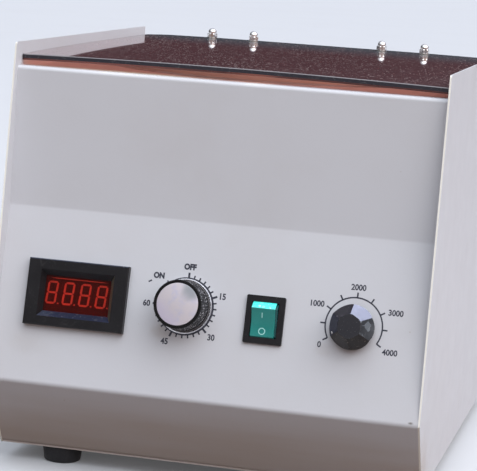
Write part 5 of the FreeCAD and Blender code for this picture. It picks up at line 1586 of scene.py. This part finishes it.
@dataclass
class RockerSwitch(SubAssembly):
    """Green rocker in a black frame."""

    x: float = 37.4
    drop: float = 59.3
    width: float = 15.6
    skirt: float = 17.0
    skirt_inset: float = 1.1
    aside: float = -0.6
    radius: float = 13.4
    pivot: float = -5.55
    vertex: float = 7.85
    tilt: float = 22.0
    lit_from: float = 0.25
    mark_lift: float = 0.06
    bar_mark: tuple[float, ...] = (-1.55, -0.85, 2.9, 6.4)
    ring_mark: Point2 = (-0.7, -7.4)
    ring_radii: Point2 = (1.7, 2.3)
    wears = {"black_matte": ("switch_body",)}

    def make(self) -> None:
        """Make the rocker with its skirt and marks."""
        low, high = self.aside - self.width / 2, self.aside + self.width / 2
        key = bevelled(self.prism("rocker_key", 0.0, low, high, "rocker_green"), 0.45, 3, 25.0)
        up = up_the_face()
        # The faces of the upper end take the painted glow.
        self.share_out(key.data, ("lit_rocker_end",),
                       lambda face: int(face.normal.dot(up) > self.lit_from))
        # The skirt takes the darker painted shade of the green.
        side = self.prism("rocker_skirt", self.skirt_inset, -self.skirt / 2, self.skirt / 2,
                          "rocker_side_green")
        finish(bevelled(side, 0.2, 2, 25.0), "rocker", "rocker_green", "switch_rocker")
        finish(key, "rocker", "rocker_green", "switch_rocker")
        self.show(self.marks(), "pale_mark_ink", "rocker", None)

    def prism(self, name: str, inset: float, low: float, high: float, wears: str) -> Piece:
        """Solid of the rocker's section.

        Args:
            name: name of the piece.
            inset: how much smaller than the rocker it is.
            low: its left end.
            high: its right end.
            wears: name of its finish.

        Returns:
            The piece.
        """
        stand = Matrix(((0, 0, 1, 0), (1, 0, 0, 0), (0, 1, 0, 0), (0, 0, 0, 1)))
        draft = Draft().extrude(self.outline(inset), low, high).turned(stand)
        return placed(name, draft.mesh(name, face_place(self.x, self.drop)),
                      self.finishes[wears])

    def outline(self, inset: float) -> list[Point2]:
        """Section across the pivot, as (up the face, out of it), made smaller by inset."""
        radius, vertex = self.radius - inset, self.vertex - inset
        half = math.radians(self.tilt / 2)
        ridge = (-vertex * math.tan(half), self.pivot + vertex)
        low_end = -math.sqrt(radius ** 2 - vertex ** 2)
        slope = math.tan(2 * half)
        reach = ridge[0]
        while math.hypot(reach, ridge[1] + slope * (reach - ridge[0]) - self.pivot) < radius:
            reach += 0.01
        points = [(low_end, ridge[1]), ridge, (reach, ridge[1] + slope * (reach - ridge[0]))]
        start = math.atan2(points[-1][1] - self.pivot, points[-1][0])
        end = math.atan2(vertex, low_end)
        angles = [start * (1 - k / 8) for k in range(1, 9)]
        angles += [math.pi + (end - math.pi) * k / 8 for k in range(8)]
        return points + [(radius * math.cos(a), self.pivot + radius * math.sin(a))
                         for a in angles]

    def marks(self) -> Mesh:
        """Bar above and ring below, as pale inlays."""
        slope = math.radians(self.tilt)
        ridge_y, ridge_z = -self.vertex * math.tan(slope / 2), self.pivot + self.vertex
        upper = Matrix.Translation((0, ridge_y, ridge_z)) @ Matrix.Rotation(slope, 4, "X")
        lower = Matrix.Translation((*self.ring_mark, ridge_z))
        inner, outer = self.ring_radii
        draft = Draft().extrude(rectangle(*self.bar_mark), 0.0, self.mark_lift).turned(upper)
        corners = rectangle(inner, outer, 0.0, self.mark_lift)
        draft.skin([[lower @ p for p in circle(r, z, 48)] for r, z in corners], closed=True)
        return draft.mesh("rocker_marks", face_place(self.x, self.drop))


@dataclass
class SpeedKnob(SubAssembly):
    """Glossy knob with a round body, a faceted crown with painted reflections, and a white dot."""

    x: float = 95.2
    drop: float = 58.2
    foot: float = 13.0
    shoulder: float = 14.6
    rim: float = 7.85
    crown: float = 8.6
    well: float = 8.5
    well_top: float = 5.0
    height: float = 18.2
    lift: float = 0.8
    facets: int = 6
    slope: float = 60.0
    # Dial angle of the middle of the first facet.
    phase: float = 31.0
    foot_break: float = 0.3
    side_below: float = 0.2
    top_above: float = 0.8
    smooth: float = 9.0
    dot_reach: float = 12.4
    dot_turn: float = -113.0
    dot: tuple[Point2, ...] = ((0.0, 0.0), (0.85, 0.0), (0.8, 0.25), (0.0, 0.3))
    # Finish of the knob's top, side and each facet, with the facets' painted reflections.
    shades: tuple[str, ...] = ("knob_side_black", "bright_facet", "cloudy_facet", "brown_facet",
                               "brown_facet", "blue_facet", "violet_facet")
    wears = {
        "black_matte": ("speed_control_body",),
        "shaft_steel": ("speed_spindle",),
    }

    def make(self) -> None:
        """Make the knob and its dot."""
        place = face_place(self.x, self.drop)
        mesh = Draft().skin(self.rings()).mesh("speed_grip", place, sharp=self.smooth)
        piece = placed("speed_grip", mesh, self.finishes["black_plastic"])
        piece = bevelled(piece, 0.22, 2, self.smooth)
        back = place.to_3x3().inverted()
        self.share_out(piece.data, self.shades, lambda face: self.shade(back @ face.normal))
        finish(piece, "speed_dial", "black_plastic", "speed_knob")
        at = clock(self.dot_reach, self.dot_turn)
        sunk = self.crown_height(self.dot_reach, self.dot_turn) - 0.05
        lean = Matrix.Rotation(-math.radians(self.dot_turn), 4, "Z")
        lean = lean @ Matrix.Rotation(-math.radians(self.slope), 4, "X")
        spot = face_place(self.x + at.x, self.drop - at.y, sunk) @ lean
        dot = Draft().lathe(self.dot, 32).mesh("speed_dot", spot)
        self.show(dot, "white_dot_paint", "speed_dial", None)

    def shade(self, way: Vector) -> int:
        """Number of the finish, with its painted reflection, for a face that looks a way, seen
        from the knob itself.
        """
        turn = math.degrees(math.atan2(way.x, way.y)) % 360.0
        if way.z < self.side_below:
            return 1
        if way.z >= self.top_above:
            return 0
        span = 360.0 / self.facets
        return 2 + int((turn - self.phase + span / 2) % 360.0 // span)

    def crown_height(self, radius: float, degrees: float) -> float:
        """Height of the faceted crown at a radius and a dial angle."""
        span = 360.0 / self.facets
        off = (degrees - self.phase + span / 2) % span - span / 2
        flat = self.crown * math.cos(math.radians(span / 2))
        out = radius * math.cos(math.radians(off)) - flat
        return self.height - out * math.tan(math.radians(self.slope))

    def rings(self) -> list[Ring]:
        """Rings of the knob from its well to its top."""
        count = 32 * self.facets
        angles = [self.phase + 360.0 * k / count + 180.0 / self.facets for k in range(count)]
        low, small = self.lift, self.foot_break
        rings = [[clock(radius, a, z) for a in angles] for radius, z in (
            (self.well, self.well_top), (self.well, low), (self.foot - small, low),
            (self.foot, low + small))]
        rings.append([clock(self.shoulder, a, self.crown_height(self.shoulder, a))
                      for a in angles])
        span = math.radians(360.0 / self.facets)
        edge = []
        for a in angles:
            off = (math.radians(a - self.phase) + span / 2) % span - span / 2
            flat = self.crown * math.cos(span / 2) / math.cos(off)
            edge.append(clock(min(flat, self.rim), a, self.height))
        return rings + [edge]


@dataclass
class RearFittings(SubAssembly):
    """Mains inlet and fuse on the rear panel."""

    wears = {
        "black_matte": ("inlet_socket", "fuse_holder"),
        "brass_pins": ("inlet_pins",),
        "black_plastic": ("fuse_cap",),
    }


@dataclass
class Studio:
    """Pale floor, soft light and the camera; its lengths are in metres, its angles in radians."""

    camera_place: Point3 = (0.3115, -1.45895, 0.3691)
    yaw: float = 0.2252
    pitch: float = 0.1488
    roll: float = -0.0626
    lens: float = 157.35
    key_from: Point3 = (0.44, -0.27, 0.855)
    key_power: float = 19.0
    key_size: float = 3.0
    key_distance: float = 2.2
    key_color: Color = (1.0, 0.985, 0.965)
    floor_reach: float = 30.0
    floor_down: float = 0.0002
    low_front: Color = (0.21, 0.13, 0.1)
    low_back: Color = (0.034, 0.02, 0.022)
    high_front: Color = (1.69, 1.83, 2.01)
    high_back: Color = (0.66, 0.68, 0.78)
    warm_right: Color = (1.16, 1.07, 1.02)

    def build(self) -> None:
        """Set the stage."""
        self.floor()
        self.sky()
        self.key()
        self.camera()
        bpy.context.scene.view_settings.view_transform = "Standard"

    def floor(self) -> None:
        """Wide floor: pale to the eye, darker in the light it throws back."""
        mesh = bpy.data.meshes.new("studio_floor")
        reach = self.floor_reach
        corners = [(x, y, 0) for x, y in rectangle(-reach, reach, -reach, reach)]
        mesh.from_pydata(corners, [], [(0, 1, 2, 3)])
        mesh.transform(Matrix.Translation((0, 0, -self.floor_down)))
        sheet = MaterialSheet("studio_floor_paint")
        path = sheet.add("ShaderNodeLightPath").outputs
        seen = sheet.math("MAXIMUM", path["Is Camera Ray"], path["Is Glossy Ray"])
        seen = sheet.math("MAXIMUM", seen, path["Is Transmission Ray"])
        tone = sheet.effect(Effect.MOTTLE, Color=(0.6, 0.61, 0.63), Stain=(0.55, 0.55, 0.56),
                            Scale=3.0, Amount=0.15)
        sheet.feed(Base_Color=sheet.blend(seen, (0.115, 0.07, 0.05), tone), Roughness=0.85,
                   Specular_IOR_Level=0.1, Emission_Strength=0.12,
                   Emission_Color=sheet.blend(seen, (0.0, 0.0, 0.0), tone))
        placed("studio_floor", mesh, sheet.material)

    def sky(self) -> None:
        """Soft light from all around, stronger from above."""
        world = bpy.data.worlds.new("studio_light")
        bpy.context.scene.world = world
        world.use_nodes = True
        sheet = NodeSheet(world.node_tree)
        around = sheet.add("ShaderNodeTexCoord").outputs["Generated"]
        way = sheet.parts(around)
        behind = sheet.ramp(way[1], -0.3, 0.5)
        low = sheet.blend(behind, self.low_front, self.low_back)
        high = sheet.blend(behind, self.high_front, self.high_back)
        warmth = sheet.blend(sheet.ramp(way[0], 0.15, 0.9), (1.0, 1.0, 1.0), self.warm_right)
        tone = sheet.blend(sheet.ramp(way[2], 0.0, 0.7), low, high)
        back = sheet.out("ShaderNodeBackground", {
            "Color": sheet.blend(1.0, tone, warmth, "MULTIPLY"),
            "Strength": sheet.math("MULTIPLY_ADD", way[0], 0.88, 1.02)})
        sheet.add("ShaderNodeOutputWorld", {"Surface": back})

    def key(self) -> None:
        """Large soft lamp above, to the right and a little in front."""
        lamp = bpy.data.lights.new("key_lamp", "AREA")
        lamp.shape = "DISK"
        lamp.size = self.key_size
        lamp.energy = self.key_power
        lamp.color = self.key_color
        way = Vector(self.key_from).normalized()
        carrier = bpy.data.objects.new("key_lamp", lamp)
        carrier.location = way * self.key_distance + Vector((0, -0.1, 0.15))
        carrier.rotation_euler = way.to_track_quat("Z", "Y").to_euler()
        bpy.context.scene.collection.objects.link(carrier)

    def camera(self) -> None:
        """Camera at the photograph's angle."""
        level = math.cos(self.pitch)
        ahead = Vector((-math.sin(self.yaw) * level, math.cos(self.yaw) * level,
                        -math.sin(self.pitch)))
        right = Vector((math.cos(self.yaw), math.sin(self.yaw), 0.0))
        down = ahead.cross(right)
        across = math.cos(self.roll) * right + math.sin(self.roll) * down
        below = -math.sin(self.roll) * right + math.cos(self.roll) * down
        lens = bpy.data.cameras.new("photo_camera")
        lens.lens = self.lens
        lens.sensor_width = 36.0
        lens.sensor_fit = "HORIZONTAL"
        lens.clip_start = 0.05
        lens.clip_end = 100.0
        carrier = bpy.data.objects.new("photo_camera", lens)
        turn = Matrix((across, -below, -ahead)).transposed().to_4x4()
        carrier.matrix_world = Matrix.Translation(Vector(self.camera_place)) @ turn
        bpy.context.scene.collection.objects.link(carrier)
        bpy.context.scene.camera = carrier


def timer_scale(finishes: Finishes, places: PlaceTree) -> PrintedDial:
    """Scale of the timer: 60 minutes with ON and OFF."""
    ticks = [0.66 + 11.22 * k for k in range(25)] + [-41.9]
    return PrintedDial(
        finishes, places, "timer_scale", x=-15.8, drop=55.8, radius=18.35, stroke=1.15,
        start=0.0, end=360.0, ticks=ticks, tick_end=20.8, majors=ticks[::6], weight=0.034,
        dashes=((-26.4, 13.6),), marks=(
            ("OFF", 0.4, 25.8), ("ON", -19.8, 18.4), ("15", 24.1, 8.7), ("30", 19.3, -18.3),
            ("45", -11.4, -23.7), ("60", -26.1, -0.2)))


def speed_scale(finishes: Finishes, places: PlaceTree) -> PrintedDial:
    """Scale of the speed knob: 0 to 4000."""
    return PrintedDial(
        finishes, places, "speed_scale", x=95.3, drop=57.35, radius=18.45, stroke=0.95,
        start=-119.0, end=121.5, ticks=[30.0 * k + 1.3 for k in range(-4, 5)], tick_end=21.8,
        weight=0.028, letter=4.0, squeeze=0.93, marks=(
            ("0", -21.0, -13.5), ("1000", -24.8, 12.4), ("2000", 0.6, 25.1),
            ("3000", 26.1, 11.1), ("4000", 24.7, -14.2)))


def main() -> None:
    logging.basicConfig(level=logging.INFO)
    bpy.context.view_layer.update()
    finishes = Finishes()
    places = PlaceTree()
    for part in (Case, Lid, Chamber, Drive, SpeedMeter, TimerKnob, timer_scale, RockerSwitch,
                 SpeedKnob, speed_scale, RearFittings):
        part(finishes, places).build()
    Studio().build()
    bpy.context.view_layer.update()


if __name__ == "__main__":
    main()
